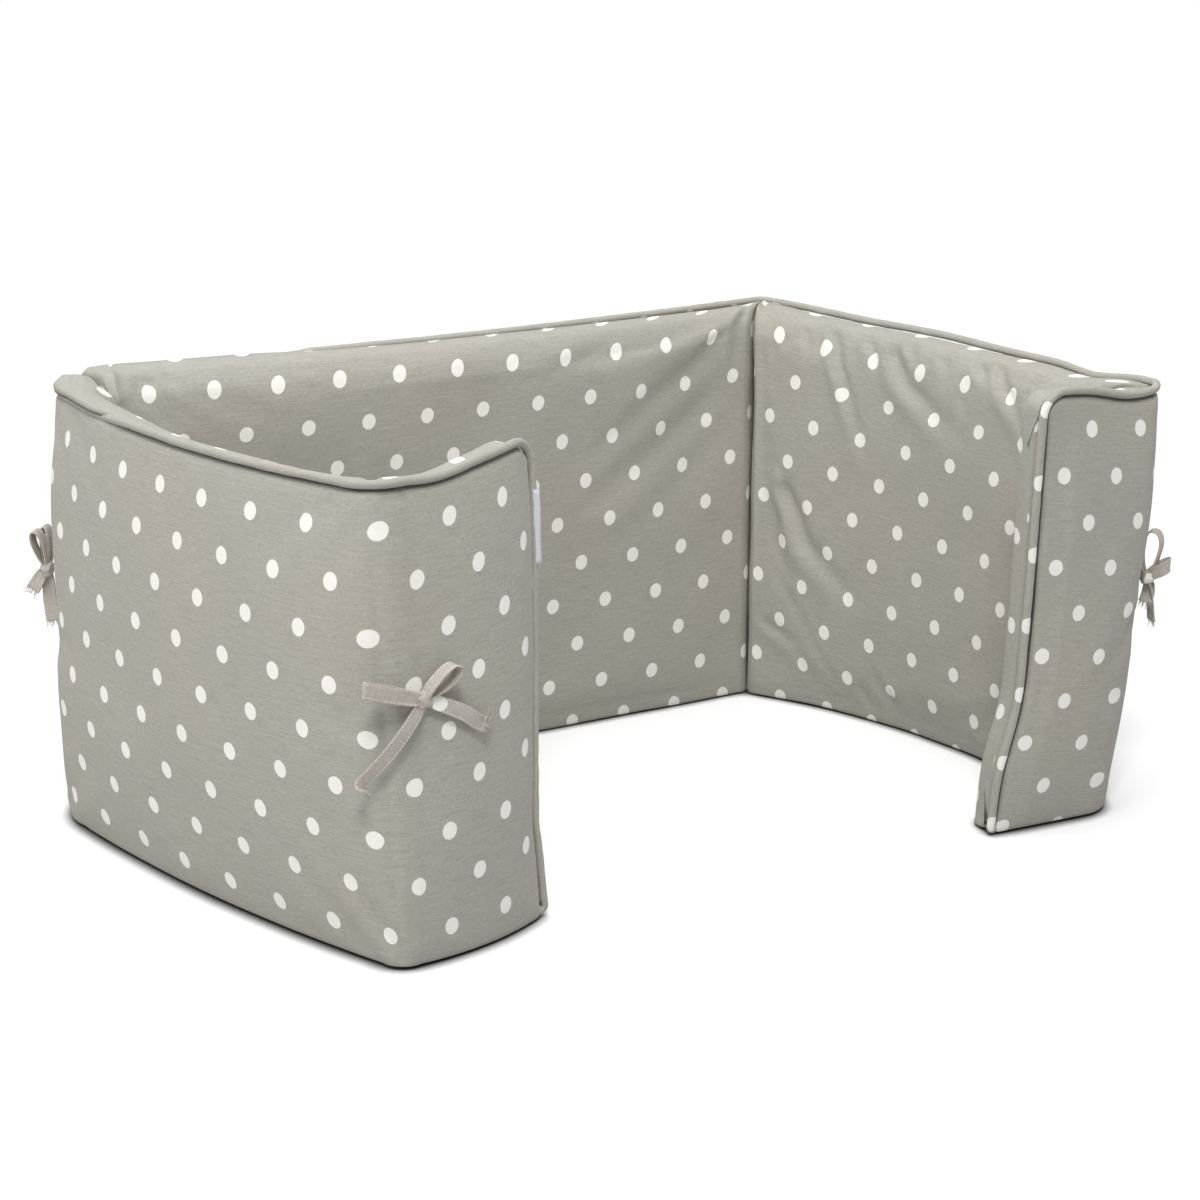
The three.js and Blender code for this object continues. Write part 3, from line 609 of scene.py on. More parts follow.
def puffed(points, pinned, slack):
    """Cloth simulation of the closed grid under the pressure of its filling, held where it is sewn."""
    count, rows = points.shape[:2]
    flat = points.reshape(-1, 3) * MM
    obj = new_object("settling", flat, grid_faces(count, rows, APEX))
    for name, weights in (("sewn", pinned), ("slack", slack)):
        group = obj.vertex_groups.new(name=name)
        values = np.broadcast_to(weights, (count, rows)).reshape(-1)
        for i in np.flatnonzero(values > 0.001):
            group.add([int(i)], float(values[i]), "REPLACE")
    cloth = obj.modifiers.new("Cloth", "CLOTH")
    for name, value in CLOTH.items():
        setattr(cloth.settings, name, value)
    cloth.settings.effector_weights.gravity = 0
    cloth.point_cache.frame_start = 1
    cloth.point_cache.frame_end = PUFF["frames"]
    for number in range(1, PUFF["frames"] + 1):
        bpy.context.scene.frame_set(number)
    settled = obj.evaluated_get(bpy.context.evaluated_depsgraph_get()).to_mesh()
    after = np.empty(len(flat) * 3)
    settled.vertices.foreach_get("co", after)
    after = after.reshape(-1, 3)
    bpy.context.scene.frame_set(1)
    bpy.data.objects.remove(obj, do_unlink=True)
    move = (after - flat) / MM
    far = np.linalg.norm(move, axis=1, keepdims=True)
    move *= np.minimum(1, PUFF["cap"] / np.maximum(far, 1e-6))
    return points + move.reshape(points.shape)


# How much of the simulated swelling each stretch of the strip takes, panel by panel: the outer face,
# the roll over the top and the inner cover.
SWELL_SHARE = {"left flap": (0.45, 0.3, 0.6), "left side": (0.45, 0.4, 0.6), "back": (0.6, 0.45, 0.3),
               "right side": (0.6, 0.6, 0.7), "right flap": (0.4, 0.3, 0.5)}
CREASE_CALM, FROM_CREASE = 0.25, 60.0   # the cover lies smoother in a sewn crease, and up to here
END_CALM = 50.0                 # and beside a free end


def swelling_share():
    """The share of the simulated swelling at each station and row."""
    middles = [(GRID.along[GRID.panel == i].min() + GRID.along[GRID.panel == i].max()) / 2
               for i in range(len(PANELS))]
    parts = np.array([SWELL_SHARE[panel["name"]] for panel in PANELS])
    face, top, cover = (np.interp(GRID.along, middles, parts[:, i]) for i in range(3))
    creases = [STRIP.length[STRIP.corner_at[i]] for i in range(1, len(CORNERS) - 1)]
    away = np.min([np.abs(GRID.along - place) for place in creases], axis=0)
    calm = CREASE_CALM + (1 - CREASE_CALM) * smoothstep(away / FROM_CREASE)
    share = np.empty(GRID.points.shape[:2])
    share[:, :FACE_ROWS] = face[:, None]
    share[:, FACE_ROWS:COVER_TOP] = (top * calm)[:, None]
    share[:, COVER_TOP:] = (cover * calm)[:, None]
    from_end = np.minimum(GRID.along, STRIP.total - GRID.along)
    share[:, FACE_ROWS:] *= smoothstep(from_end / END_CALM)[:, None]
    return share


def pins_and_slack():
    """How firmly each point is held while the strip is puffed up, and how much cloth it has to spare."""
    rows = GRID.points.shape[1]
    pinned = np.zeros((len(GRID.stations), rows))
    sewn_rows = [0, FACE_ROWS - 1, FACE_ROWS, rows - 1]
    pinned[:, sewn_rows] = 1
    pinned[:, COVER_FOOT + 3:] = 1
    from_end = np.minimum(GRID.along, STRIP.total - GRID.along)
    pinned = np.maximum(pinned, 1 - smoothstep(from_end / PUFF["held_end"])[:, None])
    in_crease = GRID.full < CREASE_FILL
    pinned[in_crease, COVER_TOP:] = np.maximum(pinned[in_crease, COVER_TOP:], CREASE_HOLD)
    slack = np.full(pinned.shape, SLACK["face"])
    loose = smoothstep((GRID.panel - SLACK["start"]) * 2) * smoothstep((SLACK["end"] - GRID.panel) * 2)
    slack[:, FACE_ROWS:] = SLACK["cover"] + SLACK["loose"] * loose[:, None]
    return pinned, slack


def upsampled(values):
    """The grid with twice the stations and twice the rows."""
    once = doubled(values, closed=False)
    return np.swapaxes(doubled(np.swapaxes(once, 0, 1), closed=True), 0, 1)


def pad_piece():
    """The padded strip: puffed up, creased and closed over its filling, with the cloth laid on it."""
    points = GRID.points
    points = points + (puffed(points, *pins_and_slack()) - points) * swelling_share()[..., None]
    fine = creased(upsampled(points))
    count, rows = fine.shape[:2]
    obj = new_object("padded_strip", fine.reshape(-1, 3) * MM, grid_faces(count, rows, 2 * APEX))
    lay_cloth(obj, fine)
    paint_seam_shade(obj, fine)
    return obj, fine


# ---- creases and drag folds in the cloth ----
# Each fold: how deep its valley is, how wide, the ridge of cloth it pushes up beside it (to the right
# of its way), and the points it runs through (along, up, in millimetres from a spot's middle).
FOLDS = {
    "right side": [
        (1.2, 4.0, 0.7, (-63, 67), (-58, 49)),
        (2.4, 5.0, 1.4, (-39, 70), (-29, 52), (-22, 42), (-5, 10), (3, -9)),
        (1.4, 4.5, 0.8, (-8, 70), (8, 53)),
        (2.2, 8.0, 1.2, (15, 67), (34, 50), (52, 42), (83, 23)),
        (1.3, 4.0, 0.7, (25, 75), (40, 61)),
        (1.2, 4.0, 0.6, (58, 71), (67, 62)),
        (1.6, 4.5, 0.9, (89, 72), (110, 63)),
        (1.8, 5.0, 1.0, (104, 75), (130, 56), (155, 35)),
        (1.2, 4.0, 0.6, (142, 74), (146, 58)),
        (1.0, 4.5, 0.5, (83, 52), (90, 40)),
        (2.4, 8.0, 1.5, (-65, -51), (-52, -68), (-43, -86), (-19, -103), (4, -117)),
        (1.3, 5.0, 0.6, (-78, -156), (-43, -166)),
        (1.2, 4.0, 0.6, (13, -186), (20, -200)),
        (1.2, 4.0, 0.6, (41, -182), (40, -198)),
        (0.8, 5.0, 0.5, (-89, 51), (-82, 29)),
        (1.2, 4.0, 0.8, (-105, 90), (-103, 61)),
        (1.0, 3.5, 0.6, (-96, 82), (-95, 64)),
    ],
    "back": [
        (1.4, 4.0, 0.8, (-305, 67), (-306, 52)),
        (1.2, 4.0, 0.7, (-298, 68), (-293, 58)),
        (1.0, 4.0, 0.5, (-286, 72), (-280, 60)),
        (0.8, 4.0, 0.5, (149, 71), (150, 33)),
        (0.9, 3.5, 0.5, (153, 82), (155, 50)),
    ],
    "face": [
        (1.3, 11.0, 0.4, (1268, -130), (1284, -155), (1302, -181)),
        (1.2, 6.0, 0.5, (-4, 19), (-18, 20)),
    ],
}
FOLD_GAIN = 1.7                 # the folds, against the depths given
UNDULATION = dict(height=0.7, size=62.0, face=5.0, cover=11.0)   # slow unevenness of the filling, two draws
SEAM_CALM = dict(folds=3, waves=8)      # rows from a seam over which each dies away
FILL_CALM = (0.55, 0.4)         # the waves begin where the strip is filled this much, and grow over this


def fold_relief(place, fold):
    """Height of a fold at places on the cloth."""
    deep, wide, ridge, *way = fold
    way = np.array(way, dtype=float)
    run = running_length(way)
    best = np.full(place.shape[:-1], 1e9)
    side = np.zeros_like(best)
    done = np.zeros_like(best)
    for i in range(len(way) - 1):
        along = way[i + 1] - way[i]
        length = np.linalg.norm(along)
        t = np.clip(((place - way[i]) @ along) / length ** 2, 0, 1)
        off = place - (way[i] + t[..., None] * along)
        far = np.linalg.norm(off, axis=-1)
        nearer = far < best
        best = np.where(nearer, far, best)
        side = np.where(nearer, np.sign(off[..., 1] * along[0] - off[..., 0] * along[1]) * far, side)
        done = np.where(nearer, (run[i] + t * length) / run[-1], done)
    strength = np.clip(1.25 * (1 - done) + 0.15, 0, 1)      # deepest where it begins
    wide = wide * (0.8 + 0.5 * done)                        # and wider as it runs out
    valley = -deep * np.exp(-(best / wide * 1.3) ** 2)
    bank = ridge * np.exp(-((side + 1.5 * wide) / wide) ** 2)
    return FOLD_GAIN * (valley + bank * (best < 4 * wide)) * strength


def creased(fine):
    """The finished cloth with its folds and the unevenness of the filling."""
    along, full = fine_columns(GRID.along), fine_columns(GRID.full)
    cover_along = fine_columns(GRID.cover_along)
    panel = np.clip(np.floor(fine_columns(GRID.panel)).astype(int), 0, len(PANELS) - 1)
    up = fine_heights()
    count, rows = up.shape
    relief = np.zeros((count, rows))
    for i, one in enumerate(PANELS):
        here = np.flatnonzero(panel == i)
        place = cover_cloth(np.repeat(cover_along[here][:, None], rows - FINE_FACE, axis=1),
                            up[here, FINE_FACE:], np.full((len(here), rows - FINE_FACE), i))
        for fold in FOLDS.get(one["name"], []):
            relief[here[:, None], np.arange(FINE_FACE, rows)] += fold_relief(place, fold)
    place = face_cloth(np.repeat(along[:, None], FINE_FACE, axis=1), up[:, :FINE_FACE])
    for fold in FOLDS["face"]:
        relief[:, :FINE_FACE] += fold_relief(place, fold)
    seams = (0, FINE_FACE - 1, FINE_FACE + 1, rows)
    from_seam = np.minimum.reduce([np.abs(np.arange(rows) - row) for row in seams])
    filled = smoothstep((full[:, None] - FILL_CALM[0]) / FILL_CALM[1])
    size = UNDULATION["size"]
    draw = [UNDULATION["face" if r < FINE_FACE else "cover"] for r in range(rows)]
    waves = np.array([[noise.noise(Vector((along[k] / size, up[k, r] / size, draw[r]))) for r in range(rows)]
                      for k in range(count)])
    waves = UNDULATION["height"] * 2 * waves * (smoothstep(from_seam / SEAM_CALM["waves"]) * filled)
    relief = relief * smoothstep(from_seam / SEAM_CALM["folds"]) + waves
    return fine + grid_normals(fine) * relief[..., None]


# Painted shade in the seams' grooves and in the gap under the foot: how near a point is to a seam, 1 in the
# seam itself, row by row: over the rim's seam from the outer face to the cover, at the foot from the cover's
# last row to the outer face's second, and round a free end and a sewn crease in the seam and beside it.
RIM_SEAM = (0.45, 1, 1, 1, 0.25)
FOOT_SEAM = (1, 1, 0.8)
BESIDE_END_SEAM, BESIDE_CREASE = 0.5, 0.4


def paint_seam_shade(obj, fine):
    """Writes how near each point is to a seam, as painted shade: the cotton darkens the cloth there in place
    of the shadow in the seams' grooves and under the foot.
    """
    count, rows = fine.shape[:2]
    deep = np.zeros((count, rows))
    deep[:, FINE_FACE - 2:FINE_FACE + 3] = RIM_SEAM
    deep[:, [rows - 1, 0, 1]] = FOOT_SEAM
    ends = 2 * PROUD_RINGS
    for k in (ends, ends - 1, count - 1 - ends, count - ends):
        deep[k, :FINE_FACE] = 1
    for k in (ends + 1, count - 2 - ends):
        deep[k, :FINE_FACE] = np.maximum(deep[k, :FINE_FACE], BESIDE_END_SEAM)
    columns = fine_columns(GRID.column)
    cover = slice(FINE_FACE + 2, rows)
    for corner, at in zip(CORNERS, STRIP.corner_at):
        if corner.get("left") == SEAM_LEFT:
            k = int(np.argmin(np.abs(columns - at)))
            deep[k, cover] = 1
            deep[[k - 1, k + 1], cover] = np.maximum(deep[[k - 1, k + 1], cover], BESIDE_CREASE)
    layer = obj.data.attributes.new("seam", "FLOAT", "POINT")
    layer.data.foreach_set("value", deep.ravel())


def fine_columns(values):
    """A value for each station, for the doubled stations."""
    n = len(values)
    return np.interp(np.arange(2 * n - 1) / 2, np.arange(n), values)


def fine_heights():
    """Heights on the cloth for the doubled grid, the outer face and the cover each by itself."""
    up = doubled(GRID.up, closed=False)
    at = np.arange(2 * GRID.up.shape[1]) / 2
    parts = []
    for low, high in ((0, FACE_ROWS), (FACE_ROWS, GRID.up.shape[1])):
        own = at[2 * low:2 * high] - low
        parts.append(np.array([np.interp(own, np.arange(high - low), row[low:high]) for row in up]))
    return np.concatenate(parts, axis=1)


def eased(along, height, spots):
    """Cloth coordinates from the place along a length of cloth and the height, so that a spot's middle
    is at each whole pitch."""
    straight = dict(middle=0, shift=0, stretch=0, lean=0, bow=0, twist=0, rise=0, slope=0, arch=0)
    spots = {**straight, **spots}
    u, v = along - spots["along"], height - spots["up"]
    x, y = (u - spots["middle"]) / 100, (height - MIDDLE_HEIGHT) / 100
    du = spots["shift"] + spots["stretch"] * x + spots["lean"] * y + spots["bow"] * y * y
    du = du + spots["twist"] * x * y
    return np.stack([u - du, v - spots["rise"] - spots["slope"] * x - spots["arch"] * x * x], axis=-1)


def face_cloth(along, height):
    """The outer face is one length of cloth: its left half and its right half meet behind the back."""
    right = smoothstep((along - FACE_JOIN["start"]) / FACE_JOIN["over"])[..., None]
    left_half, right_half = (eased(along, height, FACE_SPOTS[half]) for half in ("left", "right"))
    return left_half * (1 - right) + right_half * right


def cover_cloth(along, height, panel):
    """The inner cover, panel by panel, measured from the crease or end where the panel starts."""
    out = np.zeros((*np.shape(along), 2))
    for i, one in enumerate(PANELS):
        start = STRIP.cover_length[STRIP.corner_at[i]]
        out[panel == i] = eased(along[panel == i] - start, height[panel == i], COVER_SPOTS[one["name"]])
    return out


def lay_cloth(obj, fine):
    """Gives the cloth its own coordinates, in metres: each face of the mesh lies on one length of
    cloth, also where it shares points with the next one."""
    rows = fine.shape[1]
    slide = upsampled(GRID.slide)
    along = fine_columns(GRID.along)[:, None] + slide
    cover_along = fine_columns(GRID.cover_along)[:, None] + slide
    panel = fine_columns(GRID.panel)
    up = fine_heights()
    mesh = obj.data
    vertex = np.empty(len(mesh.loops), dtype=int)
    first = np.empty(len(mesh.polygons), dtype=int)
    total = np.empty(len(mesh.polygons), dtype=int)
    mesh.loops.foreach_get("vertex_index", vertex)
    mesh.polygons.foreach_get("loop_start", first)
    mesh.polygons.foreach_get("loop_total", total)
    k, r = vertex // rows, vertex % rows
    polygon = np.repeat(np.arange(len(total)), total)
    highest = np.maximum.reduceat(r, first)[polygon]
    lowest = np.minimum.reduceat(r, first)[polygon]
    on_face = (highest <= FINE_FACE - 1) & (highest - lowest < 3)
    wraps = (~on_face) & (r < FINE_FACE - 2) & (highest > 3 * FACE_ROWS)
    r_cover = np.where(wraps, rows - 1, np.maximum(r, FINE_FACE + 1))
    here = np.clip(np.floor(np.minimum.reduceat(panel[k], first)).astype(int), 0, len(PANELS) - 1)[polygon]
    on_the_face = face_cloth(along[k, r], up[k, np.minimum(r, FINE_FACE - 1)])
    cap = (np.maximum.reduceat(k, first) == np.minimum.reduceat(k, first))[polygon]
    height = np.where(cap, fine[k, r, 2], up[k, r_cover])
    outer_half = cap & (r < 2 * FACE_ROWS + TOP_ROWS)
    run = cover_along[k, r] + outer_half * np.where(k == 0, -CAP_WIDTH, CAP_WIDTH)
    on_the_cover = cover_cloth(run, height, here)
    layer = mesh.uv_layers.new(name="cloth")
    layer.data.foreach_set("uv", (np.where(on_face[:, None], on_the_face, on_the_cover) * MM).ravel())


# ---- the piping ----
PIPING_SIDES = 12
PIPING_STEP = 4.0
PIPING_UNEVEN = ((0.05, 9, 3), (0.04, 30, 5))   # part of the radius, length of the waves, which draw
# Where the spots fall on the piping, by the length along it from the left end's top: how far the
# strip of cloth was slipped along, and how far it rolls its spots round to the hidden side.
PIPING_SLIP = [(0, 0), (1430, 9.5), (1482, 9.5), (1720, -15.4), (1770, -15.4), (1860, 0), (3400, 0)]
PIPING_ROLL = [(0, 15), (560, 15), (600, 3), (1010, 3), (1060, 15), (1440, 15), (1470, 0), (1800, 0),
               (1860, 15), (3400, 15)]


def piping_point(column, z, shift=0.0, inset=PIPING_INSET):
    """A point of the piping's middle line, and the way out from the strip there."""
    rim, along, inside, _ = STRIP.axes(column, np.clip(z, 0, STRIP.rim_height(column)))
    length = STRIP.by_column(STRIP.length, column)
    end = "left" if length < STRIP.total / 2 else "right"
    slide = end_slide(end, min(length, STRIP.total - length), z)
    hidden = drawn_over(column) if z > RIM_HEIGHT / 2 else 0.0
    point = rim + inside * (inset + DRAWN["inset"] * hidden) + along * (shift + slide) + OFFSET
    return [*point, z - DRAWN["down"] * hidden], [*(-inside), 0.0]


def piping_turn(end, level):
    """A quarter turn of the piping round a corner of the outer face, from the long edge to the end."""
    radius = END_ROUND[end][level]
    out = []
    for turn in np.linspace(0, math.pi / 2, 11):
        share = math.sin(turn)
        lift = PIPING_LIFT + (END_PIPING["lift"] - PIPING_LIFT) * share
        column, shift = STRIP.from_end(end, radius - (radius + lift) * share)
        if level == "top":
            z = STRIP.rim_height(column) + (radius + lift) * math.cos(turn) - radius
            inset = PIPING_INSET + (END_PIPING["inset"] - PIPING_INSET) * share
        else:
            z = LIP + radius - (LIP + radius - FOOT_PIPING["z"]) * math.cos(turn)
            inset = FOOT_PIPING["inset"] + (END_PIPING["inset"] - FOOT_PIPING["inset"]) * share
        out.append(piping_point(column, z, shift, inset))
    return out


def piping_line():
    """Closed loop of points and outward directions: the top, the right end, the foot, the left end."""
    def run(level):
        low, high = (END_ROUND[end][level] + PAST_CORNER for end in ("left", "right"))
        return [STRIP.at_length(s) for s in np.arange(low, STRIP.total - high, PIPING_STEP)]

    def upright(end):
        column = 0.0 if end == "left" else float(STRIP.count - 1)
        shift = END_PIPING["lift"] * (-1 if end == "left" else 1)
        low = LIP + END_ROUND[end]["foot"]
        high = STRIP.rim_height(column) - END_ROUND[end]["top"]
        return [piping_point(column, z, shift, END_PIPING["inset"]) for z in np.linspace(low, high, 60)[1:-1]]

    top = [piping_point(c, STRIP.rim_height(c) + PIPING_LIFT) for c in run("top")]
    foot = [piping_point(c, FOOT_PIPING["z"], 0.0, FOOT_PIPING["inset"]) for c in run("foot")]
    loop = [*top, *piping_turn("right", "top"), *upright("right")[::-1],
            *piping_turn("right", "foot")[::-1], *foot[::-1], *piping_turn("left", "foot"),
            *upright("left"), *piping_turn("left", "top")[::-1]]
    return np.array([p for p, _ in loop]), np.array([n for _, n in loop])


def band_noise(along, size, draw):
    """Smooth noise along the strip, about -1 to 1, with waves of about that many millimetres."""
    return np.array([2 * noise.noise(Vector((a / size, draw, 0.37 * draw))) for a in along])


def piping_piece():
    """The piping: a slightly uneven cord in its cloth, once round the whole edge of the strip."""
    line, out = piping_line()
    length = running_length(np.vstack([line, line[:1]]))
    tangent = unit(np.roll(line, -1, axis=0) - np.roll(line, 1, axis=0))
    out = unit(out - tangent * np.sum(out * tangent, axis=1, keepdims=True))
    side = np.cross(tangent, out)
    angle = np.arange(PIPING_SIDES) / PIPING_SIDES * 2 * math.pi
    uneven = np.ones(len(line))
    for part, size, draw in PIPING_UNEVEN:
        uneven = uneven + part * band_noise(length[:-1], size, draw)
    ring = out[:, None] * np.cos(angle)[:, None] + side[:, None] * np.sin(angle)[:, None]
    points = line[:, None] + ring * (PIPING_RADIUS * uneven)[:, None, None]
    count = len(line)
    obj = new_object("piping_cord", points.reshape(-1, 3) * MM, tube_faces(count, PIPING_SIDES, joined=True))
    layer = obj.data.uv_layers.new(name="cloth")
    uv = np.empty((len(obj.data.loops), 2))
    run, roll = length + keyed(length, PIPING_SLIP), keyed(length, PIPING_ROLL)
    around = (angle / math.pi + 1) % 2 - 1
    for polygon in obj.data.polygons:
        index = [obj.data.loops[i].vertex_index for i in polygon.loop_indices]
        k, r = [i // PIPING_SIDES for i in index], [i % PIPING_SIDES for i in index]
        for loop, kk, rr in zip(polygon.loop_indices, k, r):
            across = around[rr] * math.pi * PIPING_RADIUS
            if around[rr] == -1 and max(around[q] for q in r) > 0.5:
                across = -across
            if kk == 0 and max(k) == count - 1:
                kk = count
            uv[loop] = (run[kk], across + roll[kk])
    layer.data.foreach_set("uv", (uv * MM).ravel())
    return obj


# ---- the ties in their bows ----
# Each bow: the corner it is sewn near, how far along from it, the height of its knot and how far it
# hangs off the cloth; its loops by the tip, how far each opens and which way its width lies; and its
# tails as points from the knot, what their flat side faces, and how far along a spot shows. Points
# are across to the right seen from outside, up, and out.
TIE_WIDTH, TIE_THICKNESS = 9.6, 0.9
BOWS = [
    dict(node="tie_front_left", corner="left front", offset=-17, height=164, off=0,
         loops=[dict(tip=(-41, 15, 0), open=4, flat="up"), dict(tip=(17, 19, 8), open=9, flat="out")],
         tails=[dict(keys=[(12, -5, 4), (24, -12, 6), (35, -20, 6), (38, -20, 8), (37.5, -17, 9.5)],
                     facing="out", spot=9),
                dict(keys=[(-13, -13, 3), (-26, -29, -1), (-37, -42, -7), (-39.5, -45.5, -6),
                           (-38, -47, -3.5)], facing="out")]),
    dict(node="tie_back_left", corner="left back", offset=-20, height=163, off=6,
         loops=[dict(tip=(5, 27, 5), open=7, flat="across"), dict(tip=(-5, 28, 2), open=6, flat="across")],
         tails=[dict(keys=[(2, -4, 4), (3, -9, 7), (3, -14, 10)], facing="across"),
                dict(keys=[(-2, -12, 1), (-3, -25, 1), (-3, -37, 0)], facing="across")]),
    dict(node="tie_back_right", corner="right back", offset=-12, height=162, off=0,
         loops=[dict(tip=(-31, 12, 6), open=7, flat="up"), dict(tip=(25, 18, 3), open=7, flat="out")],
         tails=[dict(keys=[(9, -14, 3), (16, -29, 4), (22, -45, 3)], facing="out"),
                dict(keys=[(-10, -14, 4), (-19, -29, 6), (-27, -43, 6)], facing="out")]),
    dict(node="tie_front_right", corner="right front", offset=-9, height=160, off=2.5,
         loops=[dict(tip=(-3, 32, 2), open=12, flat="aslant"), dict(tip=(-8, 10, 12), open=8, flat="up")],
         tails=[dict(keys=[(1, -6, 3), (1, -12, 3), (0, -18, 1)], facing="aslant"),
                dict(keys=[(0, -10, 3), (0, -20, 5), (0, -31, 7)], facing="out")]),
]
WAYS = dict(across=(1.0, 0.0, 0.0), up=(0.0, 1.0, 0.0), out=(0.0, 0.0, 1.0), aslant=(0.7, 0.0, 0.7))
LOOP_SHAPE = [(0.3, 0.75), (0.7, 1.0), (0.94, 0.62)]    # part of the way to the tip, how far open there
LOOP_START = 0.3                # half the distance between a loop's two ends in the knot
PLAIN = SPOT_COLUMN / 2         # across the cloth to a place between two columns of spots
KNOT = dict(across=6.0, up=5.6, out=4.4, rings=14, sides=28, folds=5.5, fold=0.09, lump=0.06, square=0.35)
KNOT_SUNK = 0.92                # part of its depth by which the knot's middle stands off the cloth,
KNOT_CLEAR = 0.2                # and a little air under it
TIE_CLEAR, THREAD_CLEAR = 0.35, 0.45    # least distance of a tie and of its stitches from the strip
# Across a tie: the hems at its edges, and the row of stitches that sinks into each (places are parts
# of the half width, and the two columns of ACROSS that the stitches lie on).
ACROSS = np.array([-1, -0.94, -0.86, -0.74, -0.5, 0, 0.5, 0.74, 0.86, 0.94, 1])
STITCH_COLUMNS = (3, 7)
HEM = dict(thick=0.26, place=0.9, wide=0.1)
STITCH = dict(pitch=2.1, length=1.5, thick=0.28, place=0.74, sunk=0.14, wide=0.06, proud=0.1)
EDGE_THIN = 0.06                # square of the part of the thickness left at the very edge
# Along a tie: gathered in the knot, hemmed where it is cut, and curled and twisted a little: height
# and length of the waves, and which draw.
TIE_POINTS = 40
GATHER = dict(reach=7, narrowed=0.4, pleat=1.25, pleats=2.6, no_stitches=5.0)
CUT_HEM = dict(thick=0.55, back=3.2, over=0.8)
CURL, TWIST, SWAY = (0.9, 22, 1.3), (0.3, 7, 4.1), (0.5, 15, 7.7)
# Strands at the cut: spread sideways and lifted off the flat, their length for a short one, what
# chance and turn add to it, how far they bow, and where they start: back under the hem, and below.
FRAY = dict(strands=18, length=5.2, thick=0.26, jitter=0.03, spread=1.1, lift=1.2, least=0.45, chance=0.9,
            turn=0.25, bow=0.35, back=0.6, below=0.4, taper=0.3)


class Shells:
    """Gathers closed shells with cloth coordinates into one mesh."""

    def __init__(self):
        self.vertices, self.faces, self.uvs = [], [], []

    def add(self, points, uv, faces):
        start = len(self.vertices)
        self.vertices += [tuple(p) for p in points]
        self.faces += [tuple(start + i for i in face) for face in faces]
        self.uvs += [tuple(q) for q in uv]

    def build(self, name):
        obj = new_object(name, np.array(self.vertices) * MM, self.faces)
        layer = obj.data.uv_layers.new(name="cloth")
        vertex = np.empty(len(obj.data.loops), dtype=int)
        obj.data.loops.foreach_get("vertex_index", vertex)
        layer.data.foreach_set("uv", (np.array(self.uvs)[vertex] * MM).ravel())
        return obj


def ribbon(shells, keys, way, seed, cut_end=False, spot=None):
    """One length of folded tie through the keys, its width along the given way: gathered where it
    enters the knot, hemmed along both edges, a little curled, and turned up and frayed where it is
    cut. Gives the lines that its top stitching follows."""
    line = catmull_rom(keys, TIE_POINTS)
    length = running_length(line)
    tangent = unit(np.gradient(line, axis=0))
    wide = unit(np.array(way) - tangent * (tangent @ np.array(way))[:, None])
    thick = np.cross(tangent, wide)
    from_knot = length if cut_end else np.minimum(length, length[-1] - length)
    gather = np.exp(-from_knot / GATHER["reach"])
    hem = HEM["thick"] * np.exp(-((np.abs(ACROSS) - HEM["place"]) / HEM["wide"]) ** 2)
    sunk = STITCH["sunk"] * np.exp(-((np.abs(ACROSS) - STITCH["place"]) / STITCH["wide"]) ** 2)
    flat = TIE_THICKNESS / 2 * np.sqrt(np.clip(1 - (np.abs(ACROSS) ** 8), EDGE_THIN, 1))

    def wave(kind, at):
        return kind[0] * noise.noise(Vector((at / kind[1], seed, kind[2])))

    rings, uvs, stitches = [], [], [[], []]
    for k, point in enumerate(line):
        half = TIE_WIDTH / 2 * (1 - GATHER["narrowed"] * gather[k])
        turned = 0.0
        if cut_end:
            from_cut = length[k] - length[-1] + CUT_HEM["back"]
            turned = CUT_HEM["thick"] * smoothstep(from_cut / CUT_HEM["over"])
        pleat = GATHER["pleat"] * gather[k] * np.cos(ACROSS * GATHER["pleats"] * math.pi + seed)
        bend = wave(CURL, length[k]) * ACROSS ** 2 + pleat + wave(TWIST, length[k]) * ACROSS
        half_thick = flat + hem - sunk + turned / 2
        middle = point + wide[k] * wave(SWAY, length[k]) + wide[k] * (ACROSS * half)[:, None]
        upper = middle + thick[k] * (bend + half_thick)[:, None]
        lower = middle + thick[k] * (bend - half_thick)[:, None]
        rings.append(np.vstack([upper, lower[::-1]]))
        for side, at in zip(stitches, STITCH_COLUMNS):
            side.append((upper[at] + thick[k] * STITCH["proud"], lower[at] - thick[k] * STITCH["proud"]))
        u, v = (0.0, length[k] - spot) if spot else (PLAIN, length[k] + 11 * seed)
        uvs += [(u + x * TIE_WIDTH / 2, v) for x in (*ACROSS, *ACROSS[::-1])]
    size = len(rings[0])
    last = (len(line) - 1) * size
    faces = tube_faces(len(line), size)
    cap = [(j, j + 1, size - 2 - j, size - 1 - j) for j in range(size // 2 - 1)]
    faces += cap + [tuple(last + i for i in face[::-1]) for face in cap]
    shells.add(np.vstack(rings), uvs, faces)
    if cut_end:
        frayed(shells, rings[-1], tangent[-1], thick[-1], seed)
    free = from_knot > GATHER["no_stitches"]
    return [np.array([pair[face] for pair in side])[free] for side in stitches for face in (0, 1)]


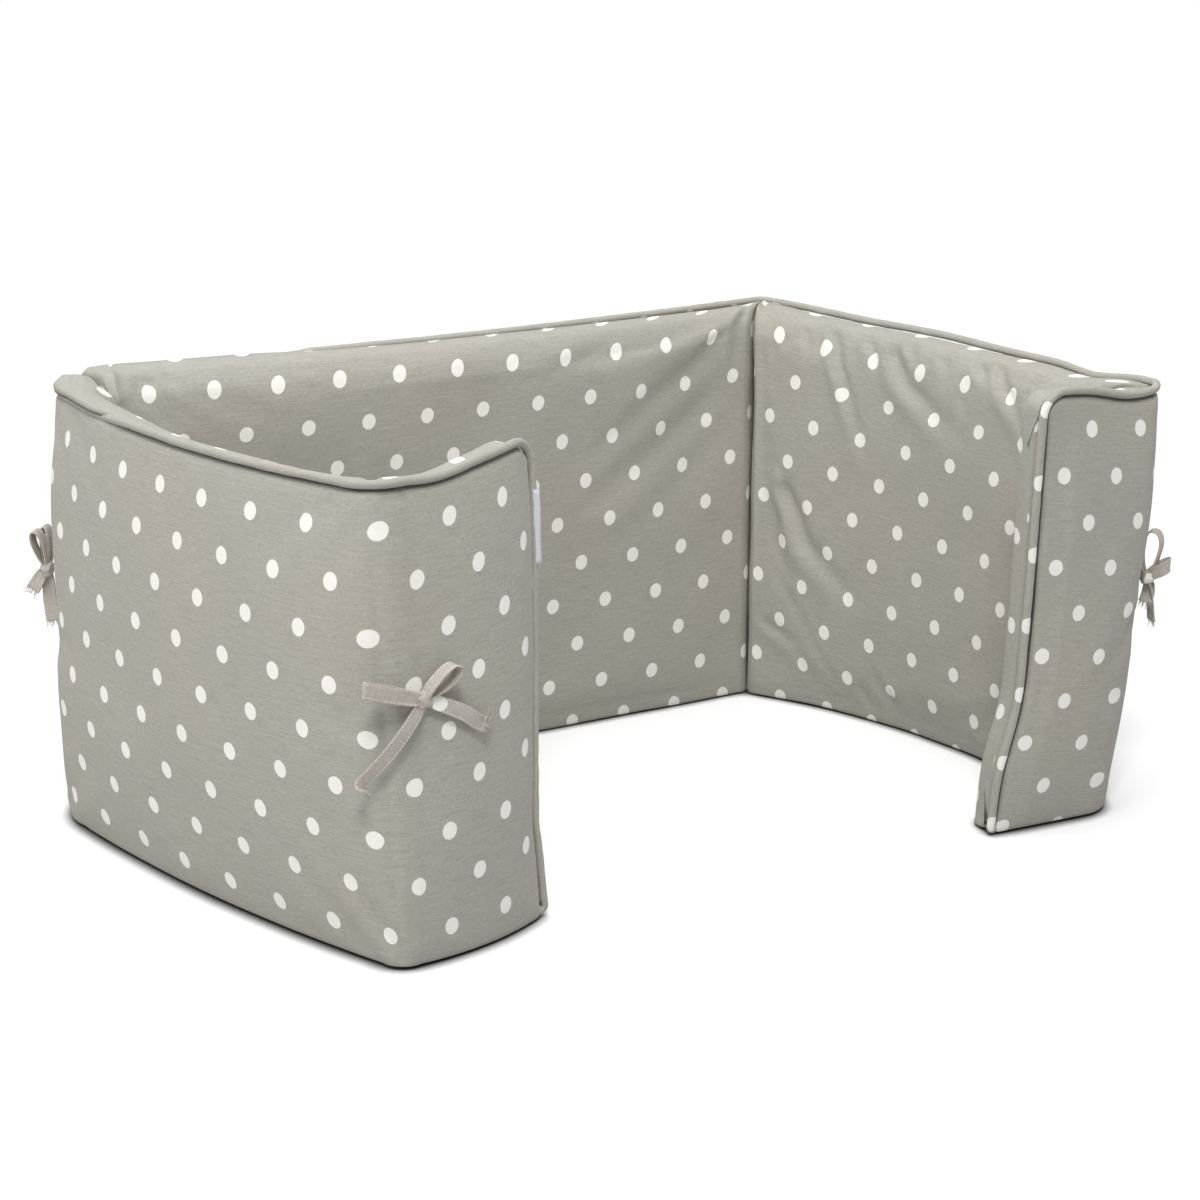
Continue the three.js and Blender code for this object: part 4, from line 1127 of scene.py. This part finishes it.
def frayed(shells, edge, ahead, thick, seed):
    """Loose strands where a tie is cut: each a thin three-sided spike with a bow in it."""
    left, right = edge[0], edge[len(edge) // 2 - 1]
    sideways = (right - left) / np.linalg.norm(right - left)
    for i in range(FRAY["strands"]):
        t = (i + 0.5) / FRAY["strands"] + FRAY["jitter"] * noise.noise(Vector((i, seed, 2.2)))
        lean = [noise.noise(Vector((i * 1.7, seed, far))) for far in (3.1, 5.3, 9.7)]
        way = unit(ahead + sideways * FRAY["spread"] * lean[0] + thick * FRAY["lift"] * lean[1])
        part = FRAY["least"] + FRAY["chance"] * abs(lean[2]) + FRAY["turn"] * ((i * 7) % 3)
        reach = FRAY["length"] * part
        start = left + (right - left) * t - ahead * FRAY["back"] - thick * TIE_THICKNESS * FRAY["below"]
        bow = np.cross(way, thick) * reach * FRAY["bow"] * lean[0]
        path = np.array([start, start + way * reach * 0.5 + bow, start + way * reach])
        side = unit(np.cross(way, [0.3, 0.9, 0.2]))
        other = np.cross(way, side)
        ring = [side, -0.5 * side + 0.87 * other, -0.5 * side - 0.87 * other]
        points = [p + FRAY["thick"] * (1 - FRAY["taper"] * j) * r for j, p in enumerate(path) for r in ring]
        shells.add(points, [(PLAIN, 3.0 * i)] * 9, tube_faces(3, 3) + [(2, 1, 0), (6, 7, 8)])


def knot(shells, seed):
    """The knot: a squashed lump with folds running over it aslant, like a band drawn tight."""
    rings, sides = KNOT["rings"], KNOT["sides"]
    points, uv = [], []
    for i in range(rings + 1):
        polar = math.pi * i / rings
        for j in range(sides):
            angle = 2 * math.pi * j / sides
            direction = np.array([math.sin(polar) * math.cos(angle), math.cos(polar),
                                  math.sin(polar) * math.sin(angle)])
            folds = KNOT["fold"] * math.cos(KNOT["folds"] * (direction[0] * 0.8 + direction[1]) + seed)
            lumps = KNOT["lump"] * noise.noise(Vector(direction * 2.2 + seed))
            size = (0.9 + folds + lumps) / max(abs(direction)) ** KNOT["square"]
            points.append(direction * size * [KNOT["across"], KNOT["up"], KNOT["out"]])
            uv.append((angle * 6 + 11 * seed, polar * 6 + 5 * seed))
    shells.add(points, uv, tube_faces(rings + 1, sides))


def loop_keys(loop):
    """Points round a loop of a bow, out of the knot to the tip and back."""
    tip = vec(loop["tip"])
    side = unit(np.cross(tip, WAYS[loop["flat"]]))
    there = [(0.0, LOOP_START), *((part, spread * loop["open"] / 2) for part, spread in LOOP_SHAPE)]
    back = [(part, -spread) for part, spread in there[::-1]]
    return [tip * part + side * spread for part, spread in (*there, (1.0, 0.0), *back)]


def surface_point(fine, column, z):
    """A point of the finished outer face at a column and height, in millimetres."""
    face = fine[int(np.argmin(np.abs(fine_columns(GRID.column) - column))), :FINE_FACE]
    return face[int(np.argmin(np.abs(face[:, 2] - z)))]


def clear_of(points, tree, gap):
    """The points, with those nearer than the gap to the padded strip moved out to it."""
    out = []
    for p in points:
        place = Vector(p) * MM
        nearest, normal, _, _ = tree.find_nearest(place)
        depth = (place - nearest).dot(normal) / MM
        out.append(p + np.array(normal) * (gap - depth) if depth < gap else p)
    return np.array(out)


def bow_piece(bow, fine, tree):
    """One tie in its bow: the knot, two loops and two tails, with their top stitching."""
    seed = 1.0 + BOWS.index(bow)
    corner = [c["name"] for c in CORNERS].index(bow["corner"])
    column = STRIP.at_length(STRIP.length[STRIP.corner_at[corner]] + bow["offset"])
    _, along, inside, _ = STRIP.axes(column, bow["height"])
    out = np.array([*(-inside), 0.0])
    across = np.array([*(-along), 0.0])
    x, y, _ = surface_point(fine, column, bow["height"])
    centre = np.array([x, y, bow["height"]]) + out * (KNOT_SUNK * KNOT["out"] + KNOT_CLEAR + bow["off"])
    shells, sewing = Shells(), []
    knot(shells, seed)
    for i, loop in enumerate(bow["loops"]):
        sewing += ribbon(shells, loop_keys(loop), WAYS[loop["flat"]], seed + 0.3 * i)
    for i, tail in enumerate(bow["tails"]):
        way = unit(np.cross(vec(tail["keys"][-1]), WAYS[tail["facing"]]))
        sewing += ribbon(shells, [(0.0, 0.0, 0.0), *tail["keys"]], way, seed + 0.6 + 0.3 * i,
                         cut_end=True, spot=tail.get("spot"))

    def placed(local):
        local = np.asarray(local)
        return centre + local[:, :1] * across + local[:, 1:2] * np.array([0, 0, 1.0]) + local[:, 2:] * out

    shells.vertices = [tuple(p) for p in clear_of(placed(shells.vertices), tree, TIE_CLEAR)]
    obj = shells.build(bow["node"].replace("tie", "bow"))
    add_stitches(obj, [clear_of(placed(line), tree, THREAD_CLEAR) for line in sewing])
    return obj


def node_adder(tree):
    """Gives the function that adds nodes to a tree."""
    def add(kind, inputs=(), out=0, **settings):
        """Adds a node with its settings, each input a value or the output that is linked to it, and
        gives the output named or numbered."""
        node = tree.nodes.new(kind)
        for name, value in settings.items():
            setattr(node, name, value)
        feed(tree, node, inputs)
        return node.outputs[out] if len(node.outputs) else None
    return add


def feed(tree, node, inputs):
    """Sets a node's inputs, or links them, by name or in their order."""
    for socket, source in inputs.items() if isinstance(inputs, dict) else enumerate(inputs):
        if isinstance(source, bpy.types.NodeSocket):
            tree.links.new(source, node.inputs[socket])
        else:
            node.inputs[socket].default_value = source


def stitching_nodes():
    """Geometry Nodes that lay small stitches, one after the other, along the edges of a mesh."""
    group = bpy.data.node_groups.new("top stitching", "GeometryNodeTree")
    group.interface.new_socket("Lines", in_out="INPUT", socket_type="NodeSocketGeometry")
    for name, size in (("Pitch", "pitch"), ("Length", "length"), ("Thickness", "thick")):
        socket = group.interface.new_socket(name, in_out="INPUT", socket_type="NodeSocketFloat")
        socket.default_value = STITCH[size] * MM
    group.interface.new_socket("Thread", in_out="INPUT", socket_type="NodeSocketMaterial")
    group.interface.new_socket("Stitches", in_out="OUTPUT", socket_type="NodeSocketGeometry")
    add = node_adder(group)
    given = add("NodeGroupInput").node.outputs
    curve = add("GeometryNodeMeshToCurve", {0: given["Lines"]})
    places = add("GeometryNodeCurveToPoints", {"Curve": curve, "Length": given["Pitch"]}, mode="LENGTH").node
    size = add("ShaderNodeCombineXYZ", (given["Thickness"], given["Thickness"], given["Length"]))
    bead = add("GeometryNodeMeshIcoSphere", {"Radius": 0.5, "Subdivisions": 2}, out="Mesh")
    stitch = add("GeometryNodeTransform", {"Geometry": bead, "Scale": size})
    uneven = add("FunctionNodeRandomValue", {"Min": (0.85, 0.85, 0.8), "Max": (1.1, 1.1, 1.08), "Seed": 7},
                 data_type="FLOAT_VECTOR")
    laid = add("GeometryNodeInstanceOnPoints", {"Points": places.outputs["Points"], "Instance": stitch,
                                                "Rotation": places.outputs["Rotation"], "Scale": uneven})
    real = add("GeometryNodeRealizeInstances", (laid,))
    finished = add("GeometryNodeSetMaterial", {"Geometry": real, "Material": given["Thread"]})
    add("NodeGroupOutput", (finished,))
    return group


def add_stitches(obj, lines):
    """Lays top stitching along the lines and joins it to the piece, as its second material."""
    points, edges = [], []
    for line in lines:
        start = len(points)
        points += [tuple(p * MM) for p in line]
        edges += [(start + i, start + i + 1) for i in range(len(line) - 1)]
    mesh = bpy.data.meshes.new("stitch lines")
    mesh.from_pydata(points, edges, [])
    carrier = bpy.data.objects.new("stitch lines", mesh)
    bpy.context.scene.collection.objects.link(carrier)
    modifier = carrier.modifiers.new("stitching", "NODES")
    modifier.node_group = STITCHING
    for socket in STITCHING.interface.items_tree:
        if socket.name == "Thread":
            modifier[socket.identifier] = SEWING_THREAD
    made = bpy.data.meshes.new_from_object(carrier.evaluated_get(bpy.context.evaluated_depsgraph_get()))
    bpy.data.objects.remove(carrier, do_unlink=True)
    bm = bmesh.new()
    bm.from_mesh(obj.data)
    count = len(bm.faces)
    bm.from_mesh(made)
    bm.faces.ensure_lookup_table()
    for face in bm.faces[count:]:
        face.material_index = 1
        face.smooth = True
    bm.to_mesh(obj.data)
    bm.free()


# ---- the tag ----
# Rows up the tag and columns across it; how far it reaches past the end, from the seam outwards, and
# how much less at its top; its way in and out over the piping; its faint curl, and its thickness.
TAG = dict(rows=14, columns=9, sewn=2.6, reach=7.4, slant=2.6, curl=0.4, curls=0.45, thick=0.7)
TAG_PATH = [(0, 0.6), (0.3, -2.0), (0.65, -2.4), (1, -1.0)]


def tag_piece():
    """A small blank ribbon folded in half, its ends sewn into the seam of the left free end, lying
    over the piping."""
    rows, columns = TAG["rows"], TAG["columns"]
    points, uv = [], []
    low, high = (corner[2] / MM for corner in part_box("tag"))
    for i in range(rows + 1):
        z = low + (high - low) * i / rows
        rim, along, inside, _ = STRIP.axes(0.0, z)
        for j in range(columns + 1):
            t = j / columns
            beyond = TAG["sewn"] + (TAG["reach"] - TAG["slant"] * i / rows) * t - end_slide("left", 0.0, z)
            depth = keyed(t, TAG_PATH) + TAG["curl"] * math.sin(i * TAG["curls"]) * t
            points.append([*(rim + inside * depth - along * beyond + OFFSET), z])
            uv.append((beyond, z))
    size = columns + 1
    faces = [(i * size + j, i * size + j + 1, (i + 1) * size + j + 1, (i + 1) * size + j)
             for i in range(rows) for j in range(columns)]
    shells = Shells()
    shells.add(points, uv, faces)
    obj = shells.build("blank_tag")
    solid = obj.modifiers.new("doubled", "SOLIDIFY")
    solid.thickness = TAG["thick"] * MM
    solid.offset = 0
    return obj


# ---- colours and finishes ----
def colour(code):
    """Linear colour from a hex sRGB code."""
    parts = [int(code[i:i + 2], 16) / 255 for i in (1, 3, 5)]
    return (*[c / 12.92 if c <= 0.04045 else ((c + 0.055) / 1.055) ** 2.4 for c in parts], 1.0)


def shade(base, factor):
    """A colour made darker or lighter."""
    return (*[min(1, c * factor) for c in base[:3]], 1.0)


def per_metre(*sizes):
    """The scale of a pattern from its sizes in millimetres along the cloth and up it."""
    return (*[1 / (size * MM) for size in sizes], 1)


def new_material(name):
    """A material with its Principled shader, and the function that adds nodes to it."""
    material = bpy.data.materials.new(name)
    material.use_nodes = True
    return material, material.node_tree.nodes["Principled BSDF"], node_adder(material.node_tree)


# The cotton's unevenness, as noise: size along the cloth and up it in millimetres, detail, roughness.
# Its threads are as thick as real ones. Their over and under is too fine to show, and is drawn
# several times as coarse.
COTTON_NOISE = dict(
    weft=(3.846, 0.3846, 3, 0.6),
    warp=(0.3846, 3.333, 3, 0.6),
    slub=(18.18, 0.9091, 2, 0.5),       # thicker stretches of yarn
    patch=(71.43, 71.43, 3, 0.55),      # uneven dyeing
    drift=(111.1, 111.1, 1, 0.4),       # warmer and cooler stretches
    crumple=(16.67, 22.22, 3, 0.55),    # faint creasing from handling
    ragged=(1.111, 1.111, 2, 0.5),      # ink at the edge of a spot
)
THREAD_MIX = (("weft", 0.0, 0.55), ("warp", 0.0, 0.45), ("slub", 0.5, 0.35))   # noise, its middle, share
WEAVE_PERIOD = 2.8274           # length of the over and under
WEAVE_BANDS = math.pi / 10      # and the length of one band of the wave pattern at a scale of 1
WEAVE_DEEP, CRUMPLE_DEEP = 0.25, 1.2
# The second colour here is that of the painted shade in the seams and under the foot.
SPOT_WHITE, SEAM_SHADE_COLOUR, WARMER = colour("#efece4"), colour("#2b2824"), (1.04, 0.99, 0.98, 1)
SPOT_RAGGED = 0.14              # how far a spot's edge wanders, in parts of its radius
SPOT_EDGE = (1.03, 0.95)        # from plain cloth to full white, in the same parts
RIBBON_YARN, RIBBON_DEEP = (0.3125, 1.4286), 0.2    # yarns of the ribbon: size along and up, and relief


def spots(add, cloth, ragged):
    """1 on the printed spots: two rectangular grids, half a pitch apart each way."""
    place = add("ShaderNodeSeparateXYZ", (cloth,)).node.outputs
    ways = ((place[0], SPOT_COLUMN * MM, SPOT_SIZE["wide"]),
            (place[1], SPOT_PITCH / 2 * MM, SPOT_SIZE["tall"]))
    reach = []
    for grid in (0.0, 1.0):
        squares = []
        for along, step, size in ways:
            moved = add("ShaderNodeMath", (along, grid * step), operation="ADD")
            wrapped = add("ShaderNodeMath", (moved, step, -step), operation="WRAP")
            part = add("ShaderNodeMath", (wrapped, size / 2 * MM), operation="DIVIDE")
            squares.append(add("ShaderNodeMath", (part, part), operation="MULTIPLY"))
        together = add("ShaderNodeMath", squares, operation="ADD")
        reach.append(add("ShaderNodeMath", (together,), operation="SQRT"))
    nearest = add("ShaderNodeMath", reach, operation="MINIMUM")
    wander = add("ShaderNodeMath", (ragged, 0.5), operation="SUBTRACT")
    edge = add("ShaderNodeMath", (wander, SPOT_RAGGED, nearest), operation="MULTIPLY_ADD")
    return add("ShaderNodeMapRange", {"Value": edge, "From Min": SPOT_EDGE[0], "From Max": SPOT_EDGE[1]})


def cotton(name, ground):
    """Plain-weave cotton, dyed and printed: matt, so that light falls off softly over every fold, with a
    little sheen from its nap at a grazing angle. Uneven threads both ways, a slub here and there and faint
    creasing keep it from looking like plastic, and the white spots printed on it let a little of the ground
    through. Near its seams it is painted darker, as painted shade of the seams' grooves and of the gap under
    the foot."""
    material, shader, add = new_material(name)
    cloth = add("ShaderNodeUVMap", uv_map="cloth")
    uneven = {}
    for kind, (along, up, detail, rough) in COTTON_NOISE.items():
        place = add("ShaderNodeMapping", {"Vector": cloth, "Scale": per_metre(along, up)})
        uneven[kind] = add("ShaderNodeTexNoise", {"Vector": place, "Scale": 1.0, "Detail": detail,
                                                  "Roughness": rough}, out="Fac")
    threads = 0.0
    for kind, middle, share in THREAD_MIX:
        off = add("ShaderNodeMath", (uneven[kind], middle), operation="SUBTRACT")
        threads = add("ShaderNodeMath", (off, share, threads), operation="MULTIPLY_ADD")

    ranged = {}
    for kind, source, low, high, to_low, to_high in (
            ("tone", threads, 0.36, 0.64, 0.0, 1.0), ("patch", uneven["patch"], 0.3, 0.7, 0.0, 0.35),
            ("drift", uneven["drift"], 0.35, 0.65, 0.0, 1.0), ("cover", threads, 0.2, 0.4, 0.9, 1.0),
            ("rough", threads, 0.3, 0.7, 0.82, 0.95)):
        ranged[kind] = add("ShaderNodeMapRange", {"Value": source, "From Min": low, "From Max": high,
                                                  "To Min": to_low, "To Max": to_high})
    printed = spots(add, cloth, uneven["ragged"])
    printed = add("ShaderNodeMath", (printed, ranged["cover"]), operation="MULTIPLY")
    # Painted shade: the seam attribute darkens the cloth in the seams' grooves and in the gap under the foot,
    # where shadow falls.
    near_seam = add("ShaderNodeAttribute", out="Fac", attribute_name="seam")
    seam_shade = add("ShaderNodeMath", (near_seam, 0.9), operation="MULTIPLY")
    base = colour(ground)
    tone = shade(base, 0.80)
    for factor, over, mode in ((ranged["tone"], shade(base, 1.2), "MIX"),
                               (ranged["patch"], shade(base, 0.93), "MIX"),
                               (ranged["drift"], WARMER, "MULTIPLY"),
                               (printed, SPOT_WHITE, "MIX"), (seam_shade, SEAM_SHADE_COLOUR, "MIX")):
        tone = add("ShaderNodeMix", {0: factor, 6: tone, 7: over}, out=2, data_type="RGBA", blend_type=mode)

    wave = {"Vector": cloth, "Scale": WEAVE_BANDS / (WEAVE_PERIOD * MM), "Distortion": 1.2, "Detail": 1.0,
            "Detail Scale": 2.0}
    bands = [add("ShaderNodeTexWave", wave, out="Fac", bands_direction=way) for way in ("X", "Y")]
    woven = add("ShaderNodeMath", bands, operation="MULTIPLY")
    woven = add("ShaderNodeMath", (woven, 0.4), operation="MULTIPLY")
    relief = add("ShaderNodeMath", (threads, 0.7, woven), operation="MULTIPLY_ADD")
    weave = add("ShaderNodeBump", {"Strength": 0.5, "Distance": WEAVE_DEEP * MM, "Height": relief})
    crumpled = add("ShaderNodeBump", {"Strength": 0.35, "Distance": CRUMPLE_DEEP * MM,
                                      "Height": uneven["crumple"], "Normal": weave})
    feed(material.node_tree, shader, {"Base Color": tone, "Roughness": ranged["rough"], "Normal": crumpled,
                                      "Sheen Weight": 0.12, "Sheen Roughness": 0.5,
                                      "Specular IOR Level": 0.25})
    return material


def ribbon_cloth(name, ground):
    """Smooth woven polyester ribbon and sewing thread: its close, even yarns catch the light more than
    the cotton does, with a soft sheen and a faint rib along them, drawn a little coarser than it is."""
    material, shader, add = new_material(name)
    cloth = add("ShaderNodeUVMap", uv_map="cloth")
    place = add("ShaderNodeMapping", {"Vector": cloth, "Scale": per_metre(*RIBBON_YARN)})
    yarn = {"Vector": place, "Scale": 1.0, "Detail": 2, "Roughness": 0.6}
    yarn = add("ShaderNodeTexNoise", yarn, out="Fac")
    factor = add("ShaderNodeMapRange", {"Value": yarn, "From Min": 0.3, "From Max": 0.7})
    base = colour(ground)
    tone = add("ShaderNodeMix", {0: factor, 6: shade(base, 0.88), 7: base}, out=2, data_type="RGBA")
    ribbed = add("ShaderNodeBump", {"Strength": 0.3, "Distance": RIBBON_DEEP * MM, "Height": yarn})
    feed(material.node_tree, shader, {"Base Color": tone, "Normal": ribbed, "Roughness": 0.6,
                                      "Sheen Weight": 0.2})
    return material


def wear(piece, material, slot, *nodes_replaced, second=None):
    """Finish of a piece, and the CAD nodes that it replaces. The slot argument is not used."""
    piece.data.materials.clear()
    for one in (material, second):
        if one:
            piece.data.materials.append(one)
    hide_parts(*nodes_replaced)
    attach(piece, "root")


# ---- studio ----
# The camera's place in the plan's axes, how far it looks down, its roll and its turn in degrees, and
# its lens.
CAMERA = dict(place=(-884.45, -1141.76, 615.04), down=18.087, roll=-0.442, turn=-37.710, lens=68.73)
SENSOR = 36
LIGHTS = [
    dict(name="key", place=(-0.95, -1.25, 2.05), target=(0.0, 0.0, 0.1), size=(0.5, 0.5), power=24),
    dict(name="left softbox", place=(-1.4, 0.1, 0.8), target=(0.0, 0.0, 0.1), size=(0.8, 0.8), power=5),
    dict(name="top", place=(0, 0.1, 2.0), target=(0, 0, 0.1), size=(1.2, 1.2), power=16),
]
AMBIENT, AMBIENT_COLOUR = 0.62, "#fbfcff"
WHITE = (1, 1, 1, 1)
FLOOR_HALF = 6                  # metres from its middle to its edge
FLOOR_NEAR, FLOOR_FAR = 0.75, 1.35      # where the floor fades into the white backdrop
FLOOR_GLOW, FLOOR_BOUNCE = 0.12, 0.5    # light it adds for the camera, and how much it throws back
CONTACT_REACH = 0.011           # how far from the cloth the painted contact shadow reaches


def place_camera():
    """The camera, level but for its roll, looking down at the object from the front left."""
    data = bpy.data.cameras.new("camera")
    data.sensor_width = SENSOR
    data.lens = CAMERA["lens"]
    camera = bpy.data.objects.new("camera", data)
    bpy.context.scene.collection.objects.link(camera)
    down, roll, turn = (math.radians(CAMERA[k]) for k in ("down", "roll", "turn"))
    ahead = Vector((0, math.cos(down), -math.sin(down)))
    low = Vector((0, -math.sin(down), -math.cos(down)))
    right = Vector((1, 0, 0))
    rolled_right = right * math.cos(roll) + low * math.sin(roll)
    rolled_low = low * math.cos(roll) - right * math.sin(roll)
    axes = Matrix.Rotation(turn, 3, "Z") @ Matrix((rolled_right, -rolled_low, -ahead)).transposed()
    place = Vector(CAMERA["place"]) + Vector((*OFFSET, 0))
    camera.matrix_world = Matrix.Translation(place * MM) @ axes.to_4x4()
    bpy.context.scene.camera = camera


def area_light(name, place, target, size, power):
    """A softbox that faces its target."""
    data = bpy.data.lights.new(name, "AREA")
    data.shape = "RECTANGLE"
    data.size, data.size_y = size
    data.energy = power
    light = bpy.data.objects.new(name, data)
    light.location = place
    light.rotation_euler = (Vector(target) - Vector(place)).to_track_quat("-Z", "Y").to_euler()
    bpy.context.scene.collection.objects.link(light)


def studio():
    """A pale floor in soft light, before a white backdrop."""
    scene = bpy.context.scene
    scene.view_settings.view_transform = "Standard"
    world = bpy.data.worlds.new("soft box")
    world.use_nodes = True
    tree = world.node_tree
    add = node_adder(tree)
    feed(tree, tree.nodes["Background"], {"Color": colour(AMBIENT_COLOUR), "Strength": AMBIENT})
    seen = add("ShaderNodeBackground", {"Color": WHITE, "Strength": 1.0})
    camera_ray = add("ShaderNodeLightPath", out="Is Camera Ray")
    both = add("ShaderNodeMixShader", (camera_ray, tree.nodes["Background"].outputs[0], seen))
    feed(tree, tree.nodes["World Output"], (both,))
    scene.world = world
    for light in LIGHTS:
        area_light(**light)
    corners = [(x * FLOOR_HALF, y * FLOOR_HALF, 0) for x, y in ((-1, -1), (1, -1), (1, 1), (-1, 1))]
    floor = new_object("floor", corners, [(0, 1, 2, 3)], smooth=False)
    floor.data.materials.append(floor_finish())


def floor_finish():
    """Matt white paper sweep: no gloss, fading into the white backdrop, with a painted contact shadow under
    the cloth, darkened by ambient occlusion; it throws less light back than it shows."""
    material, shader, add = new_material("pale floor")
    tree = material.node_tree
    place = add("ShaderNodeTexCoord", out="Object")
    away = add("ShaderNodeVectorMath", (place,), out="Value", operation="LENGTH")
    # Painted contact shadow: ambient occlusion near the cloth darkens the floor's colour and turns off its
    # glow.
    openness = add("ShaderNodeAmbientOcclusion", {"Distance": CONTACT_REACH}, out="AO", samples=8)
    contact = add("ShaderNodeMapRange", {"Value": openness, "From Min": 0.35, "From Max": 0.85})
    white = {0: contact, 6: colour("#4a4743"), 7: colour("#f4f4f4")}
    white = add("ShaderNodeMix", white, out=2, data_type="RGBA")
    glow = add("ShaderNodeMath", (contact, FLOOR_GLOW), operation="MULTIPLY")
    feed(tree, shader, {"Base Color": white, "Roughness": 0.9, "Specular IOR Level": 0.0,
                        "Emission Color": WHITE, "Emission Strength": glow})
    backdrop = add("ShaderNodeEmission", {"Color": WHITE, "Strength": 1.0})
    duller = add("ShaderNodeBsdfDiffuse", {"Color": (FLOOR_BOUNCE, FLOOR_BOUNCE, FLOOR_BOUNCE, 1)})
    fade = add("ShaderNodeMapRange", {"Value": away, "From Min": FLOOR_NEAR, "From Max": FLOOR_FAR})
    shown = add("ShaderNodeMixShader", (fade, shader.outputs[0], backdrop))
    camera_ray = add("ShaderNodeLightPath", out="Is Camera Ray")
    both = add("ShaderNodeMixShader", (camera_ray, duller, shown))
    feed(tree, tree.nodes["Material Output"], {"Surface": both})
    return material


place_camera()
SPOTTED = cotton("spotted grey cotton", "#a6a59b")
TIE_COTTON = cotton("tie cotton", "#b6b1a8")
TAG_RIBBON = ribbon_cloth("pale tag ribbon", "#d5d3dd")
SEWING_THREAD = ribbon_cloth("pale sewing thread", "#dcd8cf")
STITCHING = stitching_nodes()

pad, pad_fine = pad_piece()
wear(pad, SPOTTED, "spotted_cotton", "pad")
wear(piping_piece(), SPOTTED, "piping_cotton", "piping")
pad_tree = BVHTree.FromPolygons([v.co for v in pad.data.vertices], [p.vertices for p in pad.data.polygons])
for tie_bow in BOWS:
    bow_object = bow_piece(tie_bow, pad_fine, pad_tree)
    wear(bow_object, TIE_COTTON, "tie_cotton", tie_bow["node"], second=SEWING_THREAD)
wear(tag_piece(), TAG_RIBBON, "tag_ribbon", "tag")
studio()
